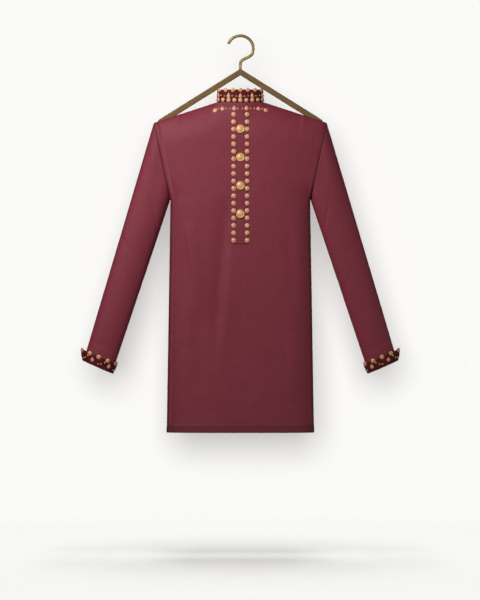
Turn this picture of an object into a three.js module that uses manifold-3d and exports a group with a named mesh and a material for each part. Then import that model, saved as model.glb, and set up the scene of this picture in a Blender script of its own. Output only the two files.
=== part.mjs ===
// A long-sleeved kurta with a band collar, a buttoned placket and turned cuffs, hanging on a flat
// wooden hanger with a brass wire hook. Millimetres, +Z up, the front faces -Y. The origin is the
// point under the crown of the hook where a rail carries it. Left and right are as seen from the front.
import * as THREE from 'three';
import { mergeVertices } from 'three/addons/utils/BufferGeometryUtils.js';
import Module from 'manifold-3d';

const wasm = await Module();
wasm.setup();

// ---------------------------------------------------------------- driving sizes, mm
const GAP = 0.3; // between any two pieces that meet
const CLOTH = 1.6; // wall of the body and the sleeves
const STIFF = 2.2; // wall of the collar and the cuffs, two layers of cloth

// The outline of the body, on its right half: the left half is its mirror.
const NECK = { x: 63.8, z: -181.5 }; // where the shoulder seam meets the collar
const TIP = { x: 242.5, z: -239.7 }; // outer end of the shoulder seam
const UNDERARM = { x: 196.6, z: -457 };
const HEM = { x: 207.2, z: -1106.6, turn: 20, rise: 0.8 };
const NECKLINE_DIP = 3; // the neckline's middle, below its ends
const NECK_HALF_DEPTH = 35;

// Half the thickness of the hanging body at its middle, from the neck to the hem.
const BODY_DEPTHS = [
  { z: -181, depth: 36 },
  { z: -300, depth: 42 },
  { z: -460, depth: 44 },
  { z: -800, depth: 42 },
  { z: -1107, depth: 45 },
];
const SIDE_POWER = 3; // how square the body's section is
const ARMHOLE_HALF_DEPTH = 27;
const ARMHOLE_CLOSING = 70; // height over which the armhole narrows to the underarm
const SHOULDER_CLOSING = 80; // height over which front and back meet at the shoulder

// Soft folds of the hanging cloth: where each runs, its widths left and right of its line, and its rise.
// A positive rise stands out, a negative one is a trough.
const FRONT_FOLDS = [
  { xTop: -37, xBottom: -72, top: -443, bottom: -939, left: 30, right: 16, rise: -5.5 },
  { xTop: -31, xBottom: -53, top: -597, bottom: -891, left: 15, right: 45, rise: 3.4 },
  { xTop: -150, xBottom: -111, top: -519, bottom: -771, left: 12, right: 26, rise: 5 },
  { xTop: -153, xBottom: -161, top: -703, bottom: -863, left: 12, right: 30, rise: 2.2 },
  { xTop: -123, xBottom: -106, top: -765, bottom: -1000, left: 20, right: 30, rise: -3.6 },
  { xTop: -165, xBottom: -158, top: -471, bottom: -883, left: 26, right: 14, rise: -3.8 },
  { xTop: 143, xBottom: 151, top: -835, bottom: -1020, left: 18, right: 35, rise: 2.5 },
  { xTop: 132, xBottom: 151, top: -480, bottom: -760, left: 20, right: 30, rise: -2.6 },
  { xTop: 157, xBottom: 160, top: -460, bottom: -860, left: 45, right: 20, rise: 2 },
];
const BACK_FOLDS = [
  { xTop: -110, xBottom: -124, top: -430, bottom: -960, left: 28, right: 20, rise: -4.5 },
  { xTop: -62, xBottom: -70, top: -560, bottom: -1010, left: 18, right: 28, rise: 3 },
  { xTop: 30, xBottom: 36, top: -640, bottom: -1030, left: 26, right: 20, rise: -4 },
  { xTop: 96, xBottom: 110, top: -400, bottom: -820, left: 22, right: 28, rise: 3.5 },
  { xTop: 138, xBottom: 150, top: -560, bottom: -1000, left: 24, right: 20, rise: -3.5 },
];

// Right sleeve and cuff: ends of the outer and the inner edge.
const CUFF = {
  outerBottom: { x: 442.7, z: -905.2 },
  outerTop: { x: 447.2, z: -874.4 },
  innerBottom: { x: 356.2, z: -942.5 },
  innerTop: { x: 344.6, z: -916.6 },
  halfDepthBottom: 26.8,
  halfDepthTop: 30,
};
const SLEEVE_END = { inset: 3.0, above: 1.5, halfDepth: 23.6 }; // inside the cuff

const COLLAR = { top: -149, halfWidth: 64.8, halfDepth: 36, power: 2.4 };

// Domed beads of the trim: radius, height over the cloth, number round a whole edge.
const BEAD = { radius: 6.4, rise: 2 };
const COLLAR_TOP_BEADS = { count: 16, radius: 5.6, rise: 2 }; // two places stay empty, under the bar
const COLLAR_BASE_BEADS = { count: 20, radius: 5.4, rise: 2, above: 6.2 };
const COLLAR_DROPS = { radius: 4.8, above: 16.6, tipBelowTopRow: 2.4, rise: 2 };
const YOKE_DROPS = { x: 50.4, z: -201.8, radius: 5.4, tip: 9.6, rise: 2 };
const YOKE_ENDS = { x: 71.2, z: -205.8 };
const CUFF_BEADS = { count: 10, radius: 6.2, rise: 2 };
const CUFF_DROPS = { radius: 4.8, tip: 8.4, below: 15.5, shift: -0.3, rise: 2 };

const PLACKET = { halfWidth: 18.9, top: -186, lift: 0.5, firstDot: -218, pitch: 20.68, dots: 18 };
const PLACKET_DROPS = { z: -201.5, radius: 5.2, tip: 9.0, rise: 2 };
const BUTTON = { radius: 11.9, height: 4.4, first: -258.7, pitch: 79, count: 4 };

const HANGER = {
  apex: -97.3, // middle line of the bar at its peak
  tip: { x: 223.1, z: -236.7 },
  width: 15.6,
  thickness: 10,
  edge: 2, // rounding of the bar's edges
  topFlat: 6, // half the flat on the peak, where the hook goes in
};
const HOOK = { wire: 8.4, radius: 36.4, freeEnd: 158, bendStart: -20, socket: 10, shankTop: -74 };
const SLOT = { from: 164, open: 176, full: 230, to: 237.6 }; // where the shoulder seam parts round the bar

// ---------------------------------------------------------------- small helpers
const lerp = THREE.MathUtils.lerp;
const clamp01 = (t) => Math.min(1, Math.max(0, t));
const smooth = (t) => clamp01(t) ** 2 * (3 - 2 * clamp01(t));
const roundOut = (t) => Math.sqrt(1 - (1 - clamp01(t)) ** 2); // a quarter circle's rise
const mix = (a, b, t) => ({ x: lerp(a.x, b.x, t), z: lerp(a.z, b.z, t) });
const range = (count) => Array.from({ length: count }, (_, i) => i);
const point = (a, b) => new THREE.Vector2(a, b);

// Depth from a table of levels, eased between its rows.
function depthAt(table, z) {
  const next = table.findIndex((row) => row.z <= z);
  if (next === 0) return table[0].depth;
  if (next < 0) return table.at(-1).depth;
  const [above, below] = [table[next - 1], table[next]];
  return lerp(above.depth, below.depth, smooth((above.z - z) / (above.z - below.z)));
}

// ---------------------------------------------------------------- beads and drops, flat outlines
const BEAD_SIDES = 8;

function circleOutline(centre, radius) {
  return range(BEAD_SIDES).map((i) => {
    const turn = (i / BEAD_SIDES) * 2 * Math.PI;
    return point(centre.x + radius * Math.cos(turn), centre.y + radius * Math.sin(turn));
  });
}

// A drop: round below, drawn out to a tip above.
function dropOutline(centre, radius, tip) {
  const round = range(BEAD_SIDES - 1).map((i) => {
    const turn = THREE.MathUtils.degToRad(150 + (i / (BEAD_SIDES - 2)) * 240);
    return point(centre.x + radius * Math.cos(turn), centre.y + radius * Math.sin(turn));
  });
  return [...round, point(centre.x, centre.y + tip)];
}

const bead = (centre, radius, rise) => ({ outline: circleOutline(centre, radius), rise });
const drop = (centre, { radius, tip, rise }) => ({ outline: dropOutline(centre, radius, tip), rise });

// ---------------------------------------------------------------- walls
// Builds one closed wall from tiles that cover a sheet. A tile is an anticlockwise outline seen from
// outside. Its beads are raised outlines inside it; a tile with a rise of its own is a bead by itself.
// place(point, lift) gives the point in space, lift mm outside the sheet.
const DOME = [
  { size: 1, share: 0 },
  { size: 0.68, share: 0.76 },
];

function wallOver(tiles, place, inside, outside) {
  const positions = [];
  const triangles = [];
  const known = new Map();
  const open = new Map();

  const vertex = (at, lift) => {
    const p = place(at, lift);
    const key = [p.x, p.y, p.z].map((v) => Math.round(v * 500)).join();
    if (!known.has(key)) {
      known.set(key, positions.length / 3);
      positions.push(p.x, p.y, p.z);
    }
    return known.get(key);
  };
  const face = (a, b, c) => {
    if (a !== b && b !== c && c !== a) triangles.push(a, b, c);
  };
  const fill = (outline, holes, lift, outwards) => {
    const all = [outline, ...holes].flat();
    for (const corners of THREE.ShapeUtils.triangulateShape([...outline], holes.map((h) => [...h]))) {
      const [p, q, r] = corners.map((i) => all[i]);
      const turn = (q.x - p.x) * (r.y - p.y) - (q.y - p.y) * (r.x - p.x);
      const [a, b, c] = [p, q, r].map((v) => vertex(v, lift));
      if (turn > 0 === outwards) face(a, b, c);
      else face(a, c, b);
    }
  };
  const dome = (outline, rise) => {
    const centre = outline.reduce((sum, p) => sum.add(p), point(0, 0)).divideScalar(outline.length);
    const rings = DOME.map(({ size, share }) =>
      outline.map((p) => vertex(centre.clone().lerp(p, size), outside + rise * share)),
    );
    const top = vertex(centre, outside + rise);
    outline.forEach((_, i) => {
      const j = (i + 1) % outline.length;
      rings.slice(1).forEach((ring, k) => {
        face(rings[k][i], rings[k][j], ring[j]);
        face(rings[k][i], ring[j], ring[i]);
      });
      face(rings.at(-1)[i], rings.at(-1)[j], top);
    });
  };

  for (const { outline, rise, beads = [] } of tiles) {
    fill(outline, [], inside, false);
    if (rise) dome(outline, rise);
    else fill(outline, beads.map((b) => b.outline), outside, true);
    for (const raised of beads) dome(raised.outline, raised.rise);
    outline.forEach((from, i) => {
      const to = outline[(i + 1) % outline.length];
      const ends = [vertex(from, inside), vertex(to, inside)];
      if (ends[0] === ends[1]) return;
      if (!open.delete(`${ends[1]},${ends[0]}`)) open.set(`${ends[0]},${ends[1]}`, [from, to]);
    });
  }
  for (const [from, to] of open.values()) {
    const [a, b] = [vertex(from, inside), vertex(to, inside)];
    const [c, d] = [vertex(to, outside), vertex(from, outside)];
    face(a, b, c);
    face(a, c, d);
  }
  const geometry = new THREE.BufferGeometry();
  geometry.setAttribute('position', new THREE.Float32BufferAttribute(positions, 3));
  geometry.setIndex(triangles);
  return geometry;
}

// The same piece for the other side of the garment.
function mirrored(geometry) {
  const other = geometry.clone().scale(-1, 1, 1);
  const index = other.getIndex();
  for (let i = 0; i < index.count; i += 3) {
    const swap = index.getX(i + 1);
    index.setX(i + 1, index.getX(i + 2));
    index.setX(i + 2, swap);
  }
  return other;
}

// ---------------------------------------------------------------- the body's form
const shoulderZ = (x) => lerp(NECK.z, TIP.z, (Math.abs(x) - NECK.x) / (TIP.x - NECK.x));

function halfWidth(z) {
  if (z > TIP.z) return TIP.x;
  if (z > UNDERARM.z) return lerp(UNDERARM.x, TIP.x, (z - UNDERARM.z) / (TIP.z - UNDERARM.z));
  return lerp(HEM.x, UNDERARM.x, (z - HEM.z) / (UNDERARM.z - HEM.z));
}

// Depth of the oval neck opening at x, for a neck of that half width and half depth.
function ovalDepth(x, halfX, halfY) {
  return halfY * (1 - clamp01(Math.abs(x) / halfX) ** COLLAR.power) ** (1 / COLLAR.power);
}

// The top edge of a body panel: height and half depth at x.
function topEdge(x, dip) {
  if (Math.abs(x) < NECK.x) {
    const z = NECK.z - dip * (1 - (x / NECK.x) ** 2);
    return { z, depth: Math.max(GAP / 2, ovalDepth(x, NECK.x, NECK_HALF_DEPTH)) };
  }
  const out = Math.abs(x);
  const parted = Math.min(
    smooth((out - SLOT.from) / (SLOT.open - SLOT.from)),
    smooth((SLOT.to - out) / (SLOT.to - SLOT.full)),
  );
  return { z: shoulderZ(x), depth: GAP / 2 + parted * (HANGER.thickness / 2 + GAP) };
}

function foldRise(folds, x, z) {
  return folds.reduce((sum, f) => {
    const along = (f.top - z) / (f.top - f.bottom);
    if (along <= 0 || along >= 1) return sum;
    const off = x - lerp(f.xTop, f.xBottom, along);
    const across = off / (off < 0 ? f.left : f.right);
    return sum + f.rise * Math.sin(Math.PI * along) ** 0.7 * Math.exp(-(across ** 2) * 1.5);
  }, 0);
}

// Half depth of the body at (x, z), measured from its middle plane.
function bodyDepth(panel, x, z) {
  const share = clamp01(Math.abs(x) / halfWidth(z));
  const armhole = roundOut((z - UNDERARM.z) / ARMHOLE_CLOSING);
  const edge = GAP / 2 + ARMHOLE_HALF_DEPTH * armhole;
  const across = (1 - share ** SIDE_POWER) ** lerp(1 / SIDE_POWER, 1, armhole);
  const middle = depthAt(BODY_DEPTHS, z);
  const fold = foldRise(panel.folds, x, z) * (1 - share ** 8);
  const full = edge + (middle - edge + fold) * across;
  const top = topEdge(x, panel.dip);
  return top.depth + (full - top.depth) * roundOut((top.z - z) / SHOULDER_CLOSING);
}

const ARMHOLE_OUT = new THREE.Vector3(TIP.z - UNDERARM.z, 0, UNDERARM.x - TIP.x).normalize();

// A point lift mm outside a body panel. At the seams the wall stands square to the seam.
function placeOnBody(panel, x, z, lift) {
  const STEP = 0.4;
  const depth = bodyDepth(panel, x, z);
  const slopeX = (bodyDepth(panel, x + STEP, z) - bodyDepth(panel, x - STEP, z)) / (2 * STEP);
  const slopeZ = (bodyDepth(panel, x, z + STEP) - bodyDepth(panel, x, z - STEP)) / (2 * STEP);
  const normal = new THREE.Vector3(-slopeX, panel.side, -slopeZ);
  const atSide = Math.abs(x) > halfWidth(z) - 1e-6;
  const onShoulder = Math.abs(x) >= NECK.x && z > shoulderZ(x) - 1e-6;
  if (onShoulder || (atSide && z < UNDERARM.z + 1e-6)) normal.y = 0;
  if (atSide && z > UNDERARM.z + 1e-6) {
    const out = ARMHOLE_OUT.clone();
    out.x *= Math.sign(x);
    normal.addScaledVector(out, -normal.dot(out));
  }
  normal.normalize();
  return new THREE.Vector3(x, panel.side * depth, z).addScaledVector(normal, lift);
}

const FRONT = { side: -1, dip: NECKLINE_DIP, folds: FRONT_FOLDS };
const BACK = { side: 1, dip: 0, folds: BACK_FOLDS };

// ---------------------------------------------------------------- front and back panels
// Columns, set where the placket, the neck, the trim and the bar need them. Those of the middle hang
// straight down; the others draw in with the side seam.
const MIDDLE_COLUMNS = [0, 18.9, 25.6, 42.5, 58.5];
const OUTER_COLUMNS = [NECK.x, 79.4, 108, 138, SLOT.from, SLOT.open, 206, SLOT.full, SLOT.to, 241, TIP.x];
const COLUMNS = [...MIDDLE_COLUMNS, ...OUTER_COLUMNS];
const ARMHOLE_ROWS = 8;
const LOWER_ROWS = 12;
const HEM_LINE = HEM.z + HEM.turn;
const HEM_STEP = 1.2; // height of the step where the hem is turned up

// Share of the height from the shoulder to the hem line at each row: close rows at both ends of the armhole.
const armholeShare = (TIP.z - UNDERARM.z) / (TIP.z - HEM_LINE);
const ringShare = (i) => (1 - Math.cos((i / ARMHOLE_ROWS) * Math.PI)) / 2;
const ROWS = [
  ...range(ARMHOLE_ROWS + 1).map((i) => armholeShare * ringShare(i)),
  ...range(LOWER_ROWS).map((i) => lerp(armholeShare, 1, (i + 1) / LOWER_ROWS)),
];
const HEM_ROWS = [HEM_LINE - HEM_STEP, HEM.z];

function bodyTiles(panel, features) {
  const columns = [...COLUMNS.slice(1).map((x) => -x).reverse(), ...COLUMNS];
  const inner = MIDDLE_COLUMNS.at(-1);
  const at = (column, row) => {
    const top = topEdge(columns[column], panel.dip).z;
    const z = row < ROWS.length ? lerp(top, HEM_LINE, ROWS[row]) : HEM_ROWS[row - ROWS.length];
    const out = Math.abs(columns[column]);
    const x = out <= inner ? out : lerp(inner, halfWidth(z), (out - inner) / (TIP.x - inner));
    return point(-panel.side * Math.sign(columns[column]) * x, z);
  };
  const order = panel.side < 0 ? [0, 1] : [1, 0]; // anticlockwise as seen from outside
  const tiles = [];
  for (const column of range(columns.length - 1)) {
    const [left, right] = order.map((i) => column + i);
    const ends = [at(left, 0).x, at(right, 0).x];
    const held = features.filter(({ x }) => x > ends[0] && x < ends[1]);
    const mergedRows = held.length ? 2 : 1; // a bead at the neck needs the two top cells as one
    const lastRow = ROWS.length + HEM_ROWS.length - 1;
    const cells = [[0, mergedRows], ...range(lastRow - mergedRows).map((i) => [i + mergedRows, i + mergedRows + 1])];
    for (const [above, below] of cells) {
      const side = (c) => range(below - above + 1).map((i) => at(c, above + i));
      const outline = [...side(left), ...side(right).reverse()];
      tiles.push({ outline, beads: above === 0 ? held.map((f) => f.bead) : [] });
    }
  }
  return tiles;
}

// Points of a panel are held as (x seen from outside, z).
function bodyWall(panel, features = []) {
  const turned = (z) => (z > HEM_LINE - HEM_STEP / 2 ? 0 : HEM.rise);
  const place = (p, lift) => {
    const onHem = lift > -CLOTH / 2 ? turned(p.y) : 0;
    return placeOnBody(panel, -panel.side * p.x, p.y, lift + onHem);
  };
  return wallOver(bodyTiles(panel, features), place, -CLOTH, 0);
}

const yokeFeatures = [-1, 1].flatMap((side) => [
  { x: side * YOKE_DROPS.x, bead: drop(point(side * YOKE_DROPS.x, YOKE_DROPS.z), YOKE_DROPS) },
  { x: side * YOKE_ENDS.x, bead: bead(point(side * YOKE_ENDS.x, YOKE_ENDS.z), BEAD.radius, BEAD.rise) },
]);

// ---------------------------------------------------------------- placket
// A strip over the middle of the front, with a row of beads set half over each long edge.
function placketWall() {
  const { halfWidth: half, top, firstDot, pitch, dots } = PLACKET;
  const levels = [
    { z: PLACKET_DROPS.z, bead: (c) => drop(c, PLACKET_DROPS) },
    ...range(dots).map((i) => ({
      z: firstDot - i * pitch,
      bead: (c) => bead(c, BEAD.radius, BEAD.rise),
    })),
  ];
  const cuts = [top, firstDot + 8.4, ...range(dots).map((i) => firstDot - (i + 0.5) * pitch)];
  const tiles = [];
  levels.forEach((level, i) => {
    const [high, low] = [cuts[i], cuts[i + 1]];
    const left = level.bead(point(-half, level.z));
    const right = level.bead(point(half, level.z));
    const inner = (b, side) => b.outline.filter((p) => side * (p.x - side * half) < 1e-6).sort((p, q) => q.y - p.y);
    const leftNotch = inner(left, -1);
    const rightNotch = inner(right, 1).reverse();
    const bottom = [-half, 0, half].map((x) => point(x, low));
    const upper = [half, 0].map((x) => point(x, high));
    tiles.push({ outline: [point(-half, high), ...leftNotch, ...bottom, ...rightNotch, ...upper] }, left, right);
  });
  const place = (p, lift) => placeOnBody(FRONT, p.x, p.y, lift);
  return wallOver(tiles, place, PLACKET.lift, PLACKET.lift + CLOTH);
}

// ---------------------------------------------------------------- rings: the collar's oval by its arc length
function ovalByArc(halfX, halfY) {
  const COUNT = 720;
  const at = (i) => {
    const turn = (i / COUNT) * 2 * Math.PI;
    const [s, c] = [Math.sin(turn), Math.cos(turn)];
    return point(
      halfX * Math.sign(s) * Math.abs(s) ** (2 / COLLAR.power),
      -halfY * Math.sign(c) * Math.abs(c) ** (2 / COLLAR.power),
    );
  };
  const points = range(COUNT + 1).map(at);
  const arcs = [0];
  for (let i = 1; i <= COUNT; i++) arcs.push(arcs[i - 1] + points[i].distanceTo(points[i - 1]));
  const length = arcs.at(-1);
  const find = (arc) => {
    const wanted = ((arc % length) + length) % length;
    const i = Math.min(COUNT - 1, Math.max(0, arcs.findIndex((a) => a > wanted) - 1));
    return points[i].clone().lerp(points[i + 1], (wanted - arcs[i]) / (arcs[i + 1] - arcs[i]));
  };
  return { length, find };
}

function collarWall() {
  const oval = ovalByArc(COLLAR.halfWidth, COLLAR.halfDepth);
  const place = (p, lift) => {
    const [here, before, after] = [0, -0.5, 0.5].map((d) => oval.find(p.x + d));
    const along = after.sub(before).normalize();
    return new THREE.Vector3(here.x + along.y * lift, here.y - along.x * lift, p.y);
  };
  const base = (arc) => {
    const at = oval.find(arc);
    const dip = at.y < 0 ? NECKLINE_DIP * (1 - clamp01(Math.abs(at.x) / NECK.x) ** 2) : 0;
    return NECK.z - dip + GAP;
  };
  const topRow = COLLAR.top - COLLAR_TOP_BEADS.radius;
  const split = topRow - 1;
  const cutsOf = (count) => range(count + 1).map((i) => ((i - 0.5) / count) * oval.length);
  const [topCuts, baseCuts] = [COLLAR_TOP_BEADS.count, COLLAR_BASE_BEADS.count].map(cutsOf);
  const between = (from, to, cuts) =>
    [...new Set(cuts.slice(0, -1).flatMap((c) => [c, c + oval.length, c - oval.length]))]
      .filter((c) => c > from + 1e-6 && c < to - 1e-6)
      .sort((a, b) => a - b)
      .map((c) => point(c, split));
  const tiles = [];
  range(COLLAR_BASE_BEADS.count).forEach((i) => {
    const [from, to] = [baseCuts[i], baseCuts[i + 1]];
    const middle = (from + to) / 2;
    const centre = point(middle, base(middle) + COLLAR_BASE_BEADS.above);
    const beads = [bead(centre, COLLAR_BASE_BEADS.radius, COLLAR_BASE_BEADS.rise)];
    if (i % 2 === 0) {
      const at = point(middle, base(middle) + COLLAR_DROPS.above);
      beads.push(drop(at, { ...COLLAR_DROPS, tip: topRow - COLLAR_DROPS.tipBelowTopRow - at.y }));
    }
    const outline = [
      point(from, split),
      point(from, base(from)),
      point(middle, base(middle)),
      point(to, base(to)),
      point(to, split),
      ...between(from, to, topCuts).reverse(),
    ];
    tiles.push({ outline, beads });
  });
  const underBar = (i) => i % (COLLAR_TOP_BEADS.count / 2) === COLLAR_TOP_BEADS.count / 4;
  range(COLLAR_TOP_BEADS.count).forEach((i) => {
    const [from, to] = [topCuts[i], topCuts[i + 1]];
    const raised = bead(point((from + to) / 2, COLLAR.top), COLLAR_TOP_BEADS.radius, COLLAR_TOP_BEADS.rise);
    const notch = raised.outline.filter((p) => p.y < COLLAR.top + 1e-6).sort((p, q) => q.x - p.x);
    const held = underBar(i) ? { notch: [], tiles: [] } : { notch, tiles: [raised] };
    const outline = [
      point(from, COLLAR.top),
      point(from, split),
      ...between(from, to, baseCuts),
      point(to, split),
      point(to, COLLAR.top),
      ...held.notch,
    ];
    tiles.push({ outline }, ...held.tiles);
  });
  return wallOver(tiles, place, -STIFF, 0);
}

// ---------------------------------------------------------------- sleeves and cuffs, right side
// A tube between an outer and an inner edge. Ring share 0 is the outer edge, 1 the inner one. Turns are
// negative: the back comes first, then the front.
function placeOnTube(tube, turn, along, lift) {
  const raw = (a, t) => {
    const s = (1 - Math.cos(a)) / 2;
    const at = mix(tube.outer(t), tube.inner(t), s);
    return new THREE.Vector3(at.x, -Math.sign(Math.sin(a)) * tube.depth(s, t), at.z);
  };
  const STEP = 0.004;
  const here = raw(turn, along);
  const across = raw(turn + STEP, along).sub(raw(turn - STEP, along));
  const down = raw(turn, Math.min(1, along + STEP)).sub(raw(turn, Math.max(0, along - STEP)));
  const normal = across.cross(down);
  if (along === 0 && tube.seam) normal.addScaledVector(tube.seam, -normal.dot(tube.seam));
  return here.addScaledVector(normal.normalize(), lift);
}

const shifted = (p, by) => ({ x: p.x + ARMHOLE_OUT.x * by, z: p.z + ARMHOLE_OUT.z * by });
const ovalShare = (s) => 2 * Math.sqrt(Math.max(0, s * (1 - s)));

const SLEEVE = (() => {
  const { outerBottom, innerBottom } = CUFF;
  const chord = Math.hypot(outerBottom.x - innerBottom.x, outerBottom.z - innerBottom.z);
  const inset = SLEEVE_END.inset / chord;
  const raise = (p) => ({ x: p.x - SLEEVE_END.above * 0.3, z: p.z + SLEEVE_END.above });
  const ends = [mix(outerBottom, innerBottom, inset), mix(innerBottom, outerBottom, inset)].map(raise);
  const armhole = (s) => bodyDepth(FRONT, lerp(TIP.x, UNDERARM.x, s), lerp(TIP.z, UNDERARM.z, s)) - GAP / 2;
  return {
    outer: (t) => mix(shifted(TIP, GAP), ends[0], t),
    inner: (t) => mix(shifted(UNDERARM, GAP), ends[1], t),
    depth: (s, t) => {
      const tube = lerp(ARMHOLE_HALF_DEPTH, SLEEVE_END.halfDepth, t) * ovalShare(s);
      return lerp(armhole(s), tube, smooth(t / 0.3));
    },
    seam: ARMHOLE_OUT,
  };
})();

const SLEEVE_ROWS = [0, 0.04, 0.09, 0.15, 0.22, 0.3, 0.4, 0.5, 0.6, 0.7, 0.8, 0.9, 1];

// Half a sleeve: side -1 is its front, 1 its back. The two are sewn along the outer and the inner edge.
function sleeveWall(side) {
  const first = side < 0 ? ARMHOLE_ROWS : 0;
  const tiles = [];
  for (const row of range(SLEEVE_ROWS.length - 1)) {
    for (const column of range(ARMHOLE_ROWS)) {
      const corner = (i, j) => point((first + column + i) / (2 * ARMHOLE_ROWS), -SLEEVE_ROWS[row + j]);
      tiles.push({ outline: [corner(0, 0), corner(0, 1), corner(1, 1), corner(1, 0)] });
    }
  }
  const place = (p, lift) => {
    const at = placeOnTube(SLEEVE, -p.x * 2 * Math.PI, -p.y, lift);
    at.y += (side * GAP) / 2;
    return at;
  };
  return wallOver(tiles, place, -CLOTH, 0);
}

const CUFF_TUBE = {
  outer: (t) => mix(CUFF.outerTop, CUFF.outerBottom, t),
  inner: (t) => mix(CUFF.innerTop, CUFF.innerBottom, t),
  depth: (s, t) => lerp(CUFF.halfDepthTop, CUFF.halfDepthBottom, t) * ovalShare(s),
};

// The cuff is laid out as (mm round its top edge, mm below that edge).
function cuffWall() {
  const height = Math.hypot(CUFF.outerTop.x - CUFF.outerBottom.x, CUFF.outerTop.z - CUFF.outerBottom.z) * 0.93;
  const COUNT = 360;
  const spot = (i) => placeOnTube(CUFF_TUBE, -(i / COUNT) * 2 * Math.PI, 0, 0);
  const arcs = [0];
  for (const i of range(COUNT)) arcs.push(arcs[i] + spot(i).distanceTo(spot(i + 1)));
  const length = arcs.at(-1);
  const turnAt = (arc) => {
    const wanted = ((arc % length) + length) % length;
    const i = Math.max(0, arcs.findIndex((a) => a > wanted) - 1);
    return -((i + (wanted - arcs[i]) / (arcs[i + 1] - arcs[i])) / COUNT) * 2 * Math.PI;
  };
  const place = (p, lift) => placeOnTube(CUFF_TUBE, turnAt(p.x), clamp01(-p.y / height), lift);
  const placeRaised = (p, lift) => {
    if (p.y <= 0) return place(p, lift);
    const edge = place(point(p.x, 0), lift);
    const down = place(point(p.x, -1), lift).sub(edge);
    return edge.addScaledVector(down.normalize(), -p.y);
  };
  const pitch = length / CUFF_BEADS.count;
  const start = length / 4;
  const tiles = [];
  range(CUFF_BEADS.count).forEach((i) => {
    const [from, to] = [start + (i - 0.5) * pitch, start + (i + 0.5) * pitch];
    const middle = (from + to) / 2;
    const raised = bead(point(middle, 0), CUFF_BEADS.radius, CUFF_BEADS.rise);
    const notch = raised.outline.filter((p) => p.y < 1e-6).sort((p, q) => q.x - p.x);
    const at = point(middle + CUFF_DROPS.shift * pitch, -CUFF_DROPS.below);
    const beads = i % 2 === 0 ? [drop(at, CUFF_DROPS)] : [];
    const low = [0, 0.33, 0.67, 1].map((t) => point(lerp(from, to, t), -height));
    tiles.push({ outline: [point(from, 0), ...low, point(to, 0), ...notch], beads }, raised);
  });
  return wallOver(tiles, placeRaised, -STIFF, 0);
}

// ---------------------------------------------------------------- buttons
function buttonShape() {
  const { radius: r, height: h } = BUTTON;
  const profile = [
    [0, 0],
    [r - 1.2, 0],
    [r, 1],
    [r, 2.2],
    [r - 1.6, 3.3],
    [r - 3.2, 2.7],
    [r * 0.45, 3.9],
    [0, h],
  ];
  return new THREE.LatheGeometry(profile.map(([x, y]) => point(x, y)), 20);
}

function placeButton(mesh, z) {
  const lift = PLACKET.lift + CLOTH + GAP;
  const at = placeOnBody(FRONT, 0, z, lift);
  const out = placeOnBody(FRONT, 0, z, lift + 1).sub(at);
  mesh.position.copy(at);
  mesh.quaternion.setFromUnitVectors(new THREE.Vector3(0, 1, 0), out.normalize());
}

// ---------------------------------------------------------------- hanger
function solidOf(geometry) {
  const bare = geometry.clone().deleteAttribute('normal').deleteAttribute('uv');
  const merged = mergeVertices(bare.index ? bare.toNonIndexed() : bare, 1e-3);
  const vertProperties = merged.attributes.position.array;
  return new wasm.Manifold(new wasm.Mesh({ numProp: 3, vertProperties, triVerts: new Uint32Array(merged.index.array) }));
}

function geometryOf(solid) {
  const { vertProperties, triVerts } = solid.getMesh();
  const geometry = new THREE.BufferGeometry();
  geometry.setAttribute('position', new THREE.BufferAttribute(vertProperties, 3));
  geometry.setIndex(new THREE.BufferAttribute(triVerts, 1));
  return geometry;
}

// A flat bar bent to a wide chevron, with rounded ends and a flat on its peak.
function hangerBar() {
  const { apex, tip, width, thickness, edge, topFlat } = HANGER;
  const slope = Math.atan2(apex - tip.z, tip.x);
  const rise = width / 2 / Math.cos(slope);
  const shape = new THREE.Shape();
  const up = Math.PI / 2 - slope;
  shape.absarc(tip.x, tip.z, width / 2, up - Math.PI, up, false);
  shape.lineTo(topFlat, apex + rise - topFlat * Math.tan(slope));
  shape.lineTo(-topFlat, apex + rise - topFlat * Math.tan(slope));
  shape.absarc(-tip.x, tip.z, width / 2, Math.PI - up, 2 * Math.PI - up, false);
  shape.lineTo(0, apex - rise);
  const bar = new THREE.ExtrudeGeometry(shape, {
    depth: thickness - 2 * edge,
    curveSegments: 6,
    bevelThickness: edge,
    bevelSize: edge,
    bevelOffset: -edge,
    bevelSegments: 2,
  });
  bar.translate(0, 0, -thickness / 2 + edge).rotateX(Math.PI / 2);
  const socketTop = apex + rise;
  const drill = new THREE.CylinderGeometry(HOOK.wire / 2 + GAP, HOOK.wire / 2 + GAP, 2 * HOOK.socket, 16);
  drill.rotateX(Math.PI / 2).translate(0, 0, socketTop);
  return geometryOf(solidOf(bar).subtract(solidOf(drill)));
}

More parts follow.
